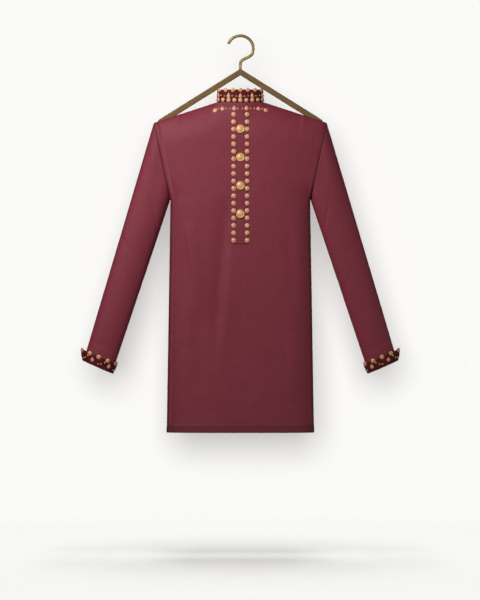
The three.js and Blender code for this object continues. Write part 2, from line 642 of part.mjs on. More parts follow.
// One wire: a shank from the bar's socket, a double bend and the open hook round its own centre.
function hangerHook() {
  const { wire, radius, freeEnd, bendStart, socket, shankTop } = HOOK;
  const centreZ = -(radius - wire / 2);
  const onArc = (degrees) => {
    const turn = THREE.MathUtils.degToRad(degrees);
    return new THREE.Vector3(radius * Math.cos(turn), 0, centreZ + radius * Math.sin(turn));
  };
  const rise = HANGER.width / 2 / Math.cos(Math.atan2(HANGER.apex - HANGER.tip.z, HANGER.tip.x));
  const shankFoot = new THREE.Vector3(0, 0, HANGER.apex + rise - socket + GAP);
  const shankEnd = new THREE.Vector3(0, 0, shankTop);
  const arcStart = onArc(bendStart);
  const arrival = arcStart.clone().sub(onArc(bendStart - 1)).normalize();
  const bend = new THREE.CubicBezierCurve3(
    shankEnd,
    shankEnd.clone().add(new THREE.Vector3(0, 0, 15)),
    arcStart.clone().addScaledVector(arrival, -15),
    arcStart,
  );
  const ARC_STEP = 14;
  const arcCount = Math.round((freeEnd - bendStart) / ARC_STEP);
  const arc = range(arcCount + 1).map((i) => onArc(lerp(bendStart, freeEnd, i / arcCount)));
  const shank = range(4).map((i) => shankFoot.clone().lerp(shankEnd, i / 4));
  const path = new THREE.CatmullRomCurve3([...shank, ...bend.getSpacedPoints(8), ...arc.slice(1)]);
  const section = new THREE.Shape().absarc(0, 0, wire / 2, 0, 2 * Math.PI, false);
  return new THREE.ExtrudeGeometry(section, { steps: 44, curveSegments: 10, extrudePath: path });
}

// ---------------------------------------------------------------- the object
const material = (color, roughness, metalness) => new THREE.MeshStandardMaterial({ color, roughness, metalness });
const cloth = material(0x7a3540, 0.85, 0);
const trimCloth = material(0x5e1c24, 0.8, 0);
const gold = material(0xc9a05e, 0.35, 0.9);
const wood = material(0x7a5a38, 0.55, 0);
const brass = material(0x93825a, 0.35, 1);

const kurta = new THREE.Group();

function add(name, geometry, finish) {
  const mesh = new THREE.Mesh(geometry, finish);
  mesh.name = name;
  kurta.add(mesh);
  return mesh;
}

add('front', bodyWall(FRONT, yokeFeatures), cloth);
add('back', bodyWall(BACK), cloth);
add('collar', collarWall(), trimCloth);
add('placket', placketWall(), cloth);
for (const i of range(BUTTON.count)) {
  placeButton(add(`button_${i + 1}`, buttonShape(), gold), BUTTON.first - i * BUTTON.pitch);
}
for (const { half, side } of [{ half: 'front', side: -1 }, { half: 'back', side: 1 }]) {
  const rightHalf = sleeveWall(side);
  add(`sleeve_right_${half}`, rightHalf, cloth);
  add(`sleeve_left_${half}`, mirrored(rightHalf), cloth);
}
const rightCuff = cuffWall();
add('cuff_right', rightCuff, trimCloth);
add('cuff_left', mirrored(rightCuff), trimCloth);
add('hanger_bar', hangerBar(), wood);
add('hanger_hook', hangerHook(), brass);

export default kurta;
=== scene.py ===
"""The looks of a long-sleeved kurta on a wooden hanger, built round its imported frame.

Metres, +Z up, the front faces -Y, and the origin is the point under the crown of the hook.
Every cloth piece is a thin wall on the form of its solid, with the seams, hems and soft folds of the
real one. Beads, drops and stitches are set along their lines by geometry nodes.
"""

import math

import bmesh
import bpy
import numpy as np
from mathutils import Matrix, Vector


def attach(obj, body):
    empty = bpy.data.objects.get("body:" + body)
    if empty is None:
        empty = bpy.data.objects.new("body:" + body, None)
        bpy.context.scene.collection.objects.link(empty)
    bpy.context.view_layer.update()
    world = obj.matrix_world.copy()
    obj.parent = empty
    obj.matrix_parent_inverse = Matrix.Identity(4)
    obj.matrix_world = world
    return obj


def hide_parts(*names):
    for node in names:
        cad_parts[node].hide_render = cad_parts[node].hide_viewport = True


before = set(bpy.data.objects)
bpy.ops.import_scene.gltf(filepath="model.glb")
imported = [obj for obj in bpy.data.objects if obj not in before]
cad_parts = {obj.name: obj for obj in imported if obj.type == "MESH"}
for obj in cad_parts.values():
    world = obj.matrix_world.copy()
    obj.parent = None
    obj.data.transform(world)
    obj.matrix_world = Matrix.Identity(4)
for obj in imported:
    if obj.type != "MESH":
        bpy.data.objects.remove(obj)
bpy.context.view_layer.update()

# ------------------------------------------------------------------ sizes, metres
CLOTH = 0.0012  # one layer of the body cloth
STIFF = 0.0020  # two layers, as in the collar and cuffs
GAP = 0.0003  # between pieces sewn edge to edge

NECK_X, NECK_Z = 0.0638, -0.1815  # where the shoulder seam meets the collar
TIP_X, TIP_Z = 0.2425, -0.2397  # outer end of the shoulder seam
UNDERARM_X, UNDERARM_Z = 0.1966, -0.457
HEM_X, HEM_Z = 0.2072, -1.1066
HEM_TURN = 0.020
HEM_RISE = 0.0008  # how far the turned-up hem stands out
HEM_LINE = HEM_Z + HEM_TURN
NECKLINE_DIP = 0.003
NECK_HALF_DEPTH = 0.035
NECK_SPREAD = 0.5  # how far the neck's oval widens for each metre below the neckline

# Half the thickness of the hanging body at its middle, from the neck to the hem.
BODY_LEVELS = np.array([-0.181, -0.300, -0.460, -0.800, -1.107])
BODY_DEPTHS = np.array([0.036, 0.042, 0.044, 0.042, 0.045])
SIDE_POWER = 3  # how full the body stays towards its side seams
ARMHOLE_HALF_DEPTH = 0.027
ARMHOLE_CLOSING = 0.070  # the height over which the armhole opens
ARMHOLE_SOFTNESS = 1.5  # eases the change from a round side to the open armhole
SHOULDER_CLOSING = 0.080  # the drop in which the body gets its depth

# Soft folds: x at the top and bottom, height of both ends, width to the left and to the right of its
# line, and rise. A positive rise stands out, a negative one is a trough.
FRONT_FOLDS = [
    (-0.037, -0.072, -0.443, -0.939, 0.030, 0.016, -0.0055),
    (-0.031, -0.053, -0.597, -0.891, 0.015, 0.045, 0.0034),
    (-0.150, -0.111, -0.519, -0.771, 0.012, 0.026, 0.0050),
    (-0.153, -0.161, -0.703, -0.863, 0.012, 0.030, 0.0022),
    (-0.123, -0.106, -0.765, -1.000, 0.020, 0.030, -0.0036),
    (-0.165, -0.158, -0.471, -0.883, 0.026, 0.014, -0.0038),
    (0.143, 0.151, -0.835, -1.020, 0.018, 0.035, 0.0025),
    (0.132, 0.151, -0.480, -0.760, 0.020, 0.030, -0.0026),
    (0.157, 0.160, -0.460, -0.860, 0.045, 0.020, 0.0020),
]
BACK_FOLDS = [
    (-0.110, -0.124, -0.430, -0.960, 0.028, 0.020, -0.0045),
    (-0.062, -0.070, -0.560, -1.010, 0.018, 0.028, 0.0030),
    (0.030, 0.036, -0.640, -1.030, 0.026, 0.020, -0.0040),
    (0.096, 0.110, -0.400, -0.820, 0.022, 0.028, 0.0035),
    (0.138, 0.150, -0.560, -1.000, 0.024, 0.020, -0.0035),
]

# Right sleeve and cuff, as (x, z) ends of the outer and the inner edge.
CUFF_OUTER_TOP, CUFF_OUTER_BOTTOM = (0.4472, -0.8744), (0.4427, -0.9052)
CUFF_INNER_TOP, CUFF_INNER_BOTTOM = (0.3446, -0.9166), (0.3562, -0.9425)
CUFF_DEPTH_TOP, CUFF_DEPTH_BOTTOM = 0.0300, 0.0268
SLEEVE_INSET, SLEEVE_ABOVE, SLEEVE_END_DEPTH = 0.0030, 0.0015, 0.0236

COLLAR_TOP = -0.149
COLLAR_HALF_WIDTH, COLLAR_HALF_DEPTH, COLLAR_POWER = 0.0648, 0.036, 2.4

PLACKET_HALF_WIDTH = 0.0189
PLACKET_TOP, PLACKET_BOTTOM = -0.186, -0.5799
PLACKET_LIFT, PLACKET_CLOTH, PLACKET_ROUNDING = 0.0005, 0.0016, 0.0012
PLACKET_GROOVE, PLACKET_GRAIN, PLACKET_GRAIN_SIZE = 0.00035, 0.00012, 0.010
PLACKET_BEADS = {"first": -0.2180, "pitch": 0.02068, "count": 18}
BUTTONS = {"first": -0.2587, "pitch": 0.0790, "count": 4}
BUTTON_RADIUS = 0.0119

BAR_APEX, BAR_TIP = -0.0973, (0.2231, -0.2367)
BAR_WIDTH, BAR_THICKNESS, BAR_EDGE, BAR_PEAK_RADIUS = 0.0156, 0.010, 0.0022, 0.006
BAR_SLOPE = math.atan2(BAR_APEX - BAR_TIP[1], BAR_TIP[0])
SLOT_FROM, SLOT_OPEN, SLOT_FULL, SLOT_TO = 0.164, 0.176, 0.230, 0.2376
WIRE, HOOK_RADIUS = 0.0084, 0.0364
HOOK_FREE_END, HOOK_BEND_START = 158, -20  # degrees round the hook's centre
SHANK_TOP, SHANK_FOOT = -0.074, -0.0978
BEND_REACH, WIRE_ROUNDING = 0.015, 0.0016  # reach of the double bend's handles, and the tip's rounding

FLOOR_Z = -1.452

# Sewing and small unevenness: how high or deep, and how wide or how far apart.
WAVE, WAVE_SIZE = 0.0007, 0.090
RIPPLE, RIPPLE_SIZE = 0.0003, 0.031
CALM = 0.020  # the cloth lies even this near a seam or an edge
PLACKET_CALM = 0.030  # and this near the middle, under the placket
SEAM_GROOVE, SEAM_GROOVE_WIDTH = 0.0008, 0.0022
PUCKER, PUCKER_PLACE, SEAM_PUCKERS, HEM_PUCKERS = 0.0003, 0.006, 0.011, 0.009
HEM_STEP = 0.0012  # the height over which the turned-up hem thickens
SEWN_FROM_HEM_LINE, SEWN_FROM_ARMHOLE, SEWN_FROM_PLACKET_EDGE = 0.003, 0.0055, 0.0085
STITCH_GROOVE, STITCH_GROOVE_WIDTH = 0.0003, 0.0012
STITCH_PITCH, STITCH_LIFT = 0.0036, 0.0001
HEM_SEWN, PLACKET_SEWN_FROM = 0.2035, -0.2080  # how far out and from what height these lines run
TRIM_GRAIN, TRIM_GRAIN_SIZE = 0.00015, 0.008  # the collar's and the cuffs' unevenness
TRIM_PADDING = 0.0004  # how far the collar and the cuffs swell between their edges
SEAM_LINE = 0.0016  # the dark line in a seam
SEAM_PAINTED_SHADE = [(0.30, 0.010), (0.28, 0.030)]  # painted shade beside it, where the cloth rounds away from the light: share and width
ARMHOLE_PAINTED_SHADE, PAINTED_SHADE_CHANGE = 0.25, 0.06  # the part of that painted shade above the underarm, and the change's height
HEM_SHADE, HEM_LINE_SHADE, HEM_LINE_WIDTH = 0.45, 0.5, 0.0008


# ------------------------------------------------------------------ small helpers
def ease(t):
    t = np.clip(t, 0, 1)
    return t * t * (3 - 2 * t)


def round_out(t):
    """A quarter circle's rise."""
    return np.sqrt(1 - (1 - np.clip(t, 0, 1)) ** 2)


def lerp(a, b, t):
    return a + (b - a) * t


def unit(v):
    return v / np.maximum(np.linalg.norm(v, axis=-1, keepdims=True), 1e-12)


def ridge(distance, width):
    """1 on a line, fading to 0 about width away from it."""
    return np.exp(-((distance / width) ** 2))


def uneven(a, b, size, seed):
    """Smooth noise from -1 to 1 at the points (a, b), with bumps about size apart."""
    count = 89
    lattice = np.random.default_rng(seed).uniform(-1, 1, (count, count))
    a, b = np.broadcast_arrays(np.asarray(a) / size, np.asarray(b) / size)
    i, j = np.floor(a).astype(int), np.floor(b).astype(int)
    s, t = ease(a - i), ease(b - j)

    def at(di, dj):
        return lattice[(i + di) % count, (j + dj) % count]

    return lerp(lerp(at(0, 0), at(1, 0), s), lerp(at(0, 1), at(1, 1), s), t)


def float_arrays(*values):
    return np.broadcast_arrays(*(np.asarray(value, float) for value in values))


# ------------------------------------------------------------------ the body's form
def shoulder_z(x):
    return lerp(NECK_Z, TIP_Z, (np.abs(x) - NECK_X) / (TIP_X - NECK_X))


def half_width(z):
    upper = lerp(UNDERARM_X, TIP_X, (z - UNDERARM_Z) / (TIP_Z - UNDERARM_Z))
    lower = lerp(HEM_X, UNDERARM_X, (z - HEM_Z) / (UNDERARM_Z - HEM_Z))
    return np.where(z > TIP_Z, TIP_X, np.where(z > UNDERARM_Z, upper, lower))


def middle_depth(z):
    place = np.interp(-z, -BODY_LEVELS, np.arange(len(BODY_LEVELS)))
    above = np.minimum(place.astype(int), len(BODY_LEVELS) - 2)
    return lerp(BODY_DEPTHS[above], BODY_DEPTHS[above + 1], ease(place - above))


class Panel:
    """The front or the back: side is its sign along Y."""

    def __init__(self, side, dip, folds, seed):
        self.side, self.dip, self.folds, self.seed = side, dip, folds, seed

    def top(self, x, drop=0.0):
        """Height and half depth of the top edge: neckline, then shoulder seam parted round the bar.
        At a drop below the edge the depth has the neck's oval spread wider, with a soft rim."""
        out = np.abs(x)
        share = np.clip(out / NECK_X, 0, 1)
        z = np.where(out < NECK_X, NECK_Z - self.dip * (1 - share**2), shoulder_z(x))
        spread_share = np.clip(out / (NECK_X + NECK_SPREAD * drop), 0, 1)
        oval_depth = (1 - spread_share**COLLAR_POWER) ** (1 / COLLAR_POWER)
        soft_depth = (1 - spread_share**2) ** 1.3
        neck_depth = NECK_HALF_DEPTH * lerp(oval_depth, soft_depth, ease(drop / 0.020))
        parted = np.minimum(
            ease((out - SLOT_FROM) / (SLOT_OPEN - SLOT_FROM)),
            ease((SLOT_TO - out) / (SLOT_TO - SLOT_FULL)),
        )
        seam_depth = GAP / 2 + parted * (BAR_THICKNESS / 2 + GAP)
        return z, np.maximum(seam_depth, neck_depth)

    def fold_rise(self, x, z):
        total = np.zeros(np.broadcast(x, z).shape)
        for x_top, x_bottom, top, bottom, left, right, rise in self.folds:
            along = np.clip((top - z) / (top - bottom), 0, 1)
            off = x - lerp(x_top, x_bottom, along)
            across = off / np.where(off < 0, left, right)
            total += rise * np.sin(np.pi * along) ** 0.7 * np.exp(-1.5 * across**2)
        return total

    def depth(self, x, z):
        """Half depth at (x, z), from the middle plane to the cloth."""
        share = np.clip(np.abs(x) / half_width(z), 0, 1)
        armhole = round_out((z - UNDERARM_Z) / ARMHOLE_CLOSING)
        edge = GAP / 2 + ARMHOLE_HALF_DEPTH * armhole
        across = (1 - share**SIDE_POWER) ** lerp(1 / SIDE_POWER, 1, armhole**ARMHOLE_SOFTNESS)
        fold = self.fold_rise(x, z) * (1 - share**8)
        full = edge + (middle_depth(z) - edge + fold) * across
        top_z, _ = self.top(x)
        drop = np.maximum(0, top_z - z)
        _, top_depth = self.top(x, drop)
        return top_depth + (full - top_depth) * round_out(drop / SHOULDER_CLOSING)

    def place(self, x, z, lift=0.0):
        """Points lift outside the panel. At the seams the wall stands square to the seam."""
        x, z, lift = float_arrays(x, z, lift)
        step = 0.0004
        slope_x = (self.depth(x + step, z) - self.depth(x - step, z)) / (2 * step)
        slope_z = (self.depth(x, z + step) - self.depth(x, z - step)) / (2 * step)
        normal = np.stack([-slope_x, np.full(x.shape, float(self.side)), -slope_z], axis=-1)
        at_side = np.abs(x) > half_width(z) - 1e-9
        on_shoulder = (np.abs(x) >= NECK_X) & (z > shoulder_z(x) - 1e-9)
        normal[on_shoulder | (at_side & (z < UNDERARM_Z + 1e-9)), 1] = 0
        on_armhole = at_side & (z > UNDERARM_Z + 1e-9)
        out = ARMHOLE_OUT * np.stack([np.sign(x), 0 * x, 1 + 0 * x], axis=-1)
        square = normal - out * np.sum(normal * out, axis=-1, keepdims=True)
        normal = unit(np.where(on_armhole[..., None], square, normal))
        surface = np.stack([x, self.side * self.depth(x, z), z], axis=-1)
        return surface + normal * lift[..., None]

    def from_seam(self, x, z):
        """Distance of (x, z) from the armhole seam, or from the side seam under it."""
        out = np.abs(x)
        armhole = (TIP_X - out) * ARMHOLE_OUT[0] + (TIP_Z - z) * ARMHOLE_OUT[2]
        return np.maximum(0, np.where(z > UNDERARM_Z, armhole, half_width(z) - out))

    def relief(self, x, z):
        """The sewing and the small unevenness of the cloth, outwards."""
        seam = self.from_seam(x, z)
        top_z, _ = self.top(x)
        inside = (1 - ridge(seam, CALM)) * (1 - ridge(top_z - z, CALM))
        calm = inside * ease((z - HEM_LINE) / CALM)
        over_placket = 1 - ease(1.5 - np.abs(x) / PLACKET_CALM) * (z > PLACKET_BOTTOM - CALM)
        lift = WAVE * uneven(x, z, WAVE_SIZE, self.seed) + RIPPLE * uneven(x, z, RIPPLE_SIZE, self.seed + 1)
        lift = lift * calm * np.where(self.side < 0, over_placket, 1)
        lift -= SEAM_GROOVE * ridge(seam, SEAM_GROOVE_WIDTH)
        puckers = uneven(z, 0 * z, SEAM_PUCKERS, self.seed + 2)
        lift += PUCKER * ridge(seam - PUCKER_PLACE, PUCKER_PLACE) * puckers
        puckers = uneven(x, 0 * x, HEM_PUCKERS, self.seed + 3)
        hem = HEM_RISE * ease((HEM_LINE - z) / HEM_STEP)
        hem += PUCKER * puckers * ridge(z - HEM_LINE, 2 * PUCKER_PLACE)
        hem -= STITCH_GROOVE * ridge(z - (HEM_LINE - SEWN_FROM_HEM_LINE), STITCH_GROOVE_WIDTH)
        return lift + hem

    def on_cloth(self, x, z, lift):
        """Points lift above the cloth with its sewing and unevenness."""
        return self.place(x, z, lift + self.relief(x, z))


seam_run = np.array([TIP_Z - UNDERARM_Z, 0, UNDERARM_X - TIP_X])
ARMHOLE_OUT = seam_run / np.linalg.norm(seam_run)
FRONT = Panel(-1, NECKLINE_DIP, FRONT_FOLDS, seed=11)
BACK = Panel(1, 0.0, BACK_FOLDS, seed=23)


# ------------------------------------------------------------------ walls from grids of points
def link(name, mesh):
    piece = bpy.data.objects.new(name, mesh)
    bpy.context.scene.collection.objects.link(piece)
    return piece


def arc_lengths(points, axis):
    steps = np.linalg.norm(np.diff(points, axis=axis), axis=-1)
    start = np.zeros_like(np.take(steps, [0], axis=axis))
    return np.cumsum(np.concatenate([start, steps], axis=axis), axis=axis)


def cloth_map(outer, wrapped):
    """Texture places in metres along and across the cloth, measured on the grid itself."""
    closed = np.concatenate([outer, outer[:, :1]], axis=1) if wrapped else outer
    across = arc_lengths(closed, 1)
    if not wrapped:
        across = across - across[:, [closed.shape[1] // 2]]
    down = arc_lengths(closed, 0)
    return np.stack([across, down[-1:] - down], axis=-1)


def wall(name, outer, inner, material, wrapped=False, rolls=(0.5, 0.5), masks=None):
    """A closed cloth wall between two grids of points, rows from the top and columns to the right as
    seen from outside. rolls rounds the top and the bottom edge by that share of the wall."""
    rows, cols = outer.shape[:2]
    layout = cloth_map(outer, wrapped)
    layer = rows * cols
    last = cols if wrapped else cols - 1
    r, c = np.meshgrid(np.arange(rows - 1), np.arange(last), indexing="ij")
    cell = [(r, c), (r + 1, c), (r + 1, c + 1), (r, c + 1)]
    groups = []  # each face group: four corners, each an array of vertex numbers and of texture places

    def corner(row, col, offset=0):
        row, col = np.broadcast_arrays(row, col)
        return (offset + row * cols + col % cols).ravel(), layout[row, col].reshape(-1, 2)

    groups.append([corner(*at) for at in cell])
    groups.append([corner(*at, layer) for at in cell[::-1]])
    edges = []
    for row, step, roll in ((0, 1, rolls[0]), (rows - 1, -1, rolls[1])):
        ahead = unit(outer[row] - outer[row + step])
        thick = np.linalg.norm(outer[row] - inner[row], axis=-1, keepdims=True)
        edges.append((outer[row] + inner[row]) / 2 + ahead * thick * roll)
    span = np.arange(last)
    for k, row in enumerate((0, rows - 1)):
        start = 2 * layer + k * cols

        def mid(col, row=row, start=start):
            return start + col % cols, layout[row, col]

        order = (span, span + 1) if k == 0 else (span + 1, span)
        one, two = order
        groups.append([corner(row, one), corner(row, two), mid(two), mid(one)])
        groups.append([mid(one), mid(two), corner(row, two, layer), corner(row, one, layer)])
    faces = [np.stack([ids for ids, _ in group], axis=1) for group in groups]
    places = [np.stack([uv for _, uv in group], axis=1) for group in groups]
    triangles, triangle_places = [], []
    if not wrapped:
        down = np.arange(rows - 1)
        for col, (a, b) in ((0, (1, 0)), (cols - 1, (0, 1))):
            side = [corner(down + a, col), corner(down + b, col), corner(down + b, col, layer)]
            side.append(corner(down + a, col, layer))
            faces.append(np.stack([ids for ids, _ in side], axis=1))
            places.append(np.stack([uv for _, uv in side], axis=1))
        for k, row in enumerate((0, rows - 1)):
            for col in (0, cols - 1):
                o, i, m = row * cols + col, layer + row * cols + col, 2 * layer + k * cols + col
                triangles.append((o, m, i) if (k == 0) == (col == 0) else (o, i, m))
                triangle_places.append([layout[row, col]] * 3)
    vertices = np.concatenate([outer.reshape(-1, 3), inner.reshape(-1, 3), *edges])
    mesh = bpy.data.meshes.new(name)
    polygons = np.concatenate(faces)
    mesh.from_pydata(vertices.tolist(), [], polygons.tolist() + triangles)
    loops = np.concatenate([np.concatenate(places).ravel(), np.array(triangle_places).ravel()])
    mesh.uv_layers.new(name="cloth").uv.foreach_set("vector", loops)
    for label, mask in (masks or {}).items():
        whole = np.concatenate([mask.ravel(), mask.ravel(), mask[0], mask[-1]])
        mesh.attributes.new(label, "FLOAT", "POINT").data.foreach_set("value", whole.astype(np.float32))
    mesh.shade_smooth()
    mesh.materials.append(material)
    return link(name, mesh)


def mirrored(grid):
    """A grid for the other side of the garment, its columns still running to the right."""
    return (grid * np.array([-1, 1, 1]))[:, ::-1]


def cut_size(outer, wrapped=False):
    """The flat cut of a cloth grid: its width, its length and its area."""
    closed = np.concatenate([outer, outer[:, :1]], axis=1) if wrapped else outer
    width = arc_lengths(closed, 1)[:, -1].max()
    length = arc_lengths(closed, 0)[-1].max()
    across, down = closed[:-1, 1:] - closed[:-1, :-1], closed[1:, :-1] - closed[:-1, :-1]
    area = np.linalg.norm(np.cross(across, down), axis=-1).sum()
    return {"flat": (float(width), float(length)), "area": float(area)}


# ------------------------------------------------------------------ shader helpers
def add_node(tree, kind, inputs=None, **settings):
    made = tree.nodes.new(kind)
    for key, value in settings.items():
        setattr(made, key, value)
    for key, value in (inputs or {}).items():
        if isinstance(value, bpy.types.NodeSocket):
            tree.links.new(value, made.inputs[key])
        else:
            made.inputs[key].default_value = value
    return made


def math_node(tree, operation, a, b=0.0):
    return add_node(tree, "ShaderNodeMath", {0: a, 1: b}, operation=operation).outputs[0]


def mixed(tree, share, a, b, blend="MIX"):
    made = add_node(tree, "ShaderNodeMix", {0: share, 6: a, 7: b}, data_type="RGBA", blend_type=blend)
    return made.outputs[2]


def spread(tree, value, low, high, to_low=0.0, to_high=1.0):
    inputs = {"Value": value, "From Min": low, "From Max": high, "To Min": to_low, "To Max": to_high}
    return add_node(tree, "ShaderNodeMapRange", inputs).outputs[0]


def noise(tree, vector, scale, detail=2.0, **more):
    inputs = {"Vector": vector, "Scale": scale, "Detail": detail, **more}
    return add_node(tree, "ShaderNodeTexNoise", inputs).outputs["Fac"]


def object_place(tree):
    return add_node(tree, "ShaderNodeTexCoord").outputs["Object"]


def parts_of(tree, vector):
    return add_node(tree, "ShaderNodeSeparateXYZ", {0: vector}).outputs


def srgb(red, green, blue):
    """A linear colour from its usual 0 to 255 values."""
    channels = [c / 255 for c in (red, green, blue)]
    linear = [c / 12.92 if c <= 0.04045 else ((c + 0.055) / 1.055) ** 2.4 for c in channels]
    return (*linear, 1.0)


def shader_group(name, inputs, outputs):
    """An empty shader group with named sockets, and its two end nodes."""
    group = bpy.data.node_groups.new(name, "ShaderNodeTree")
    for label, (kind, value) in inputs.items():
        socket = group.interface.new_socket(label, in_out="INPUT", socket_type=kind)
        if value is not None:
            socket.default_value = value
    for label, kind in outputs.items():
        group.interface.new_socket(label, in_out="OUTPUT", socket_type=kind)
    return group, group.nodes.new("NodeGroupInput"), group.nodes.new("NodeGroupOutput")


SLUB_LONG, SLUB_FINE = 30, 620  # streaks along and across the yarns, in turns for each metre
FADE_SCALE, MOTTLE_SCALE = 9.0, 210.0
THREAD_TONE = 0.06


def weave_group():
    """Plain woven cloth on a map in metres: thick and thin yarns, fading and the lie of the threads."""
    group, given, out = shader_group(
        "weave",
        {
            "Map": ("NodeSocketVector", None),
            "Colour": ("NodeSocketColor", None),
            "Pitch": ("NodeSocketFloat", 0.0009),
            "Slub": ("NodeSocketFloat", 0.2),
            "Fade": ("NodeSocketFloat", 0.1),
            "Mottle": ("NodeSocketFloat", 0.6),
        },
        {"Color": "NodeSocketColor", "Height": "NodeSocketFloat"},
    )
    layout = given.outputs["Map"]
    across = parts_of(group, layout)
    turns = math_node(group, "DIVIDE", 2 * math.pi, given.outputs["Pitch"])
    warp = math_node(group, "SINE", math_node(group, "MULTIPLY", across[0], turns))
    weft = math_node(group, "SINE", math_node(group, "MULTIPLY", across[1], turns))
    threads = math_node(group, "MULTIPLY", warp, weft)
    streaks = []
    for stretch in ((SLUB_LONG, SLUB_FINE, 1), (SLUB_FINE, SLUB_LONG, 1)):
        drawn = add_node(group, "ShaderNodeVectorMath", {0: layout, 1: stretch}, operation="MULTIPLY")
        streaks.append(noise(group, drawn.outputs[0], 1.0))
    slub = math_node(group, "SUBTRACT", math_node(group, "ADD", *streaks), 1.0)
    broad = math_node(group, "SUBTRACT", noise(group, layout, FADE_SCALE, 3.0), 0.5)
    fade = math_node(group, "MULTIPLY", broad, given.outputs["Fade"])
    tone = math_node(group, "ADD", math_node(group, "MULTIPLY", slub, given.outputs["Slub"]), fade)
    mottle = math_node(group, "SUBTRACT", noise(group, layout, MOTTLE_SCALE), 0.5)
    tone = math_node(group, "ADD", tone, math_node(group, "MULTIPLY", mottle, given.outputs["Mottle"]))
    tone = math_node(group, "ADD", tone, math_node(group, "MULTIPLY", threads, THREAD_TONE))
    shade = add_node(group, "ShaderNodeCombineColor")
    for channel in range(3):
        group.links.new(math_node(group, "ADD", tone, 1.0), shade.inputs[channel])
    colour = mixed(group, 1.0, given.outputs["Colour"], shade.outputs[0], "MULTIPLY")
    height = math_node(group, "ADD", math_node(group, "MULTIPLY", threads, 0.5), slub)
    group.links.new(colour, out.inputs["Color"])
    group.links.new(height, out.inputs["Height"])
    return group


def patina_group():
    """Uneven metal: a duller tone in patches, and fine hammering or brushing."""
    group, given, out = shader_group(
        "patina",
        {
            "Colour": ("NodeSocketColor", None),
            "Dull": ("NodeSocketColor", None),
            "Scale": ("NodeSocketFloat", 200.0),
            "Roughness": ("NodeSocketFloat", 0.35),
        },
        {"Color": "NodeSocketColor", "Roughness": "NodeSocketFloat", "Height": "NodeSocketFloat"},
    )
    patches = noise(group, object_place(group), given.outputs["Scale"], 4.0, Roughness=0.6)
    share = spread(group, patches, 0.4, 0.7)
    colour = mixed(group, share, given.outputs["Colour"], given.outputs["Dull"])
    group.links.new(colour, out.inputs["Color"])
    rough = math_node(group, "ADD", given.outputs["Roughness"], math_node(group, "MULTIPLY", share, 0.15))
    group.links.new(rough, out.inputs["Roughness"])
    group.links.new(patches, out.inputs["Height"])
    return group


def new_material(name):
    made = bpy.data.materials.new(name)
    made.use_nodes = True
    tree = made.node_tree
    shader = tree.nodes["Principled BSDF"]
    return made, tree, shader


def attribute(tree, name):
    return add_node(tree, "ShaderNodeAttribute", attribute_name=name).outputs["Fac"]


def bump(tree, height, strength, distance):
    inputs = {"Height": height, "Strength": strength, "Distance": distance}
    return add_node(tree, "ShaderNodeBump", inputs).outputs["Normal"]


WEAVE = weave_group()
PATINA = patina_group()


def woven_material(name, colour, dark, pitch, slub, sheen=0.0, specular=0.35):
    """Cloth that darkens in its seams, with painted shade beside some of them where the cloth turns away
    from the light, and where it is turned up double.
    """
    made, tree, shader = new_material(name)
    layout = add_node(tree, "ShaderNodeUVMap", uv_map="cloth").outputs[0]
    seam = attribute(tree, "seam")
    base = mixed(tree, math_node(tree, "MULTIPLY", seam, 0.75), colour, dark)
    weave = add_node(tree, "ShaderNodeGroup", node_tree=WEAVE)
    tree.links.new(layout, weave.inputs["Map"])
    tree.links.new(base, weave.inputs["Colour"])
    weave.inputs["Pitch"].default_value = pitch
    weave.inputs["Slub"].default_value = slub
    tree.links.new(weave.outputs["Color"], shader.inputs["Base Color"])
    tree.links.new(bump(tree, weave.outputs["Height"], 0.35, 0.0003), shader.inputs["Normal"])
    shader.inputs["Roughness"].default_value = 0.6
    shader.inputs["Specular IOR Level"].default_value = specular
    shader.inputs["Sheen Weight"].default_value = sheen
    shader.inputs["Sheen Roughness"].default_value = 0.5
    return made


def metal_material(name, colour, dull, scale, roughness, metallic, tints=None):
    """Gilt or brass. tints are two colours that the beads' own tint mixes."""
    made, tree, shader = new_material(name)
    base = mixed(tree, attribute(tree, "tint"), *tints) if tints else None
    worn = add_node(tree, "ShaderNodeGroup", node_tree=PATINA)
    worn.inputs["Colour"].default_value = colour
    worn.inputs["Dull"].default_value = dull
    worn.inputs["Scale"].default_value = scale
    worn.inputs["Roughness"].default_value = roughness
    if base:
        tree.links.new(base, worn.inputs["Colour"])
    tree.links.new(worn.outputs["Color"], shader.inputs["Base Color"])
    tree.links.new(worn.outputs["Roughness"], shader.inputs["Roughness"])
    tree.links.new(bump(tree, worn.outputs["Height"], 0.25, 0.0004), shader.inputs["Normal"])
    shader.inputs["Metallic"].default_value = metallic
    return made


GRAIN_SCALE, GRAIN_STRETCH = 420.0, 0.06  # turns for each metre across the grain, and its share along it


def wood_material():
    """Brown satin wood with its grain along each arm of the bar."""
    made, tree, shader = new_material("hanger_wood")
    x, y, z = parts_of(tree, object_place(tree))
    side = math_node(tree, "ABSOLUTE", x)
    slope_cos, slope_sin = math.cos(BAR_SLOPE), math.sin(BAR_SLOPE)
    run, fall = math_node(tree, "MULTIPLY", side, slope_cos), math_node(tree, "MULTIPLY", z, slope_sin)
    along = math_node(tree, "MULTIPLY", math_node(tree, "SUBTRACT", run, fall), GRAIN_STRETCH)
    run, fall = math_node(tree, "MULTIPLY", side, slope_sin), math_node(tree, "MULTIPLY", z, slope_cos)
    across = math_node(tree, "ADD", run, fall)
    drawn = add_node(tree, "ShaderNodeCombineXYZ", {0: along, 1: across, 2: y}).outputs[0]
    grain = noise(tree, drawn, GRAIN_SCALE, 4.0, Roughness=0.6, Distortion=0.6)
    share = spread(tree, grain, 0.35, 0.7)
    colour = mixed(tree, share, srgb(128, 98, 44), srgb(100, 74, 32))
    tree.links.new(colour, shader.inputs["Base Color"])
    tree.links.new(spread(tree, grain, 0.3, 0.7, 0.52, 0.66), shader.inputs["Roughness"])
    tree.links.new(bump(tree, grain, 0.2, 0.0004), shader.inputs["Normal"])
    shader.inputs["Coat Weight"].default_value = 0.05
    return made


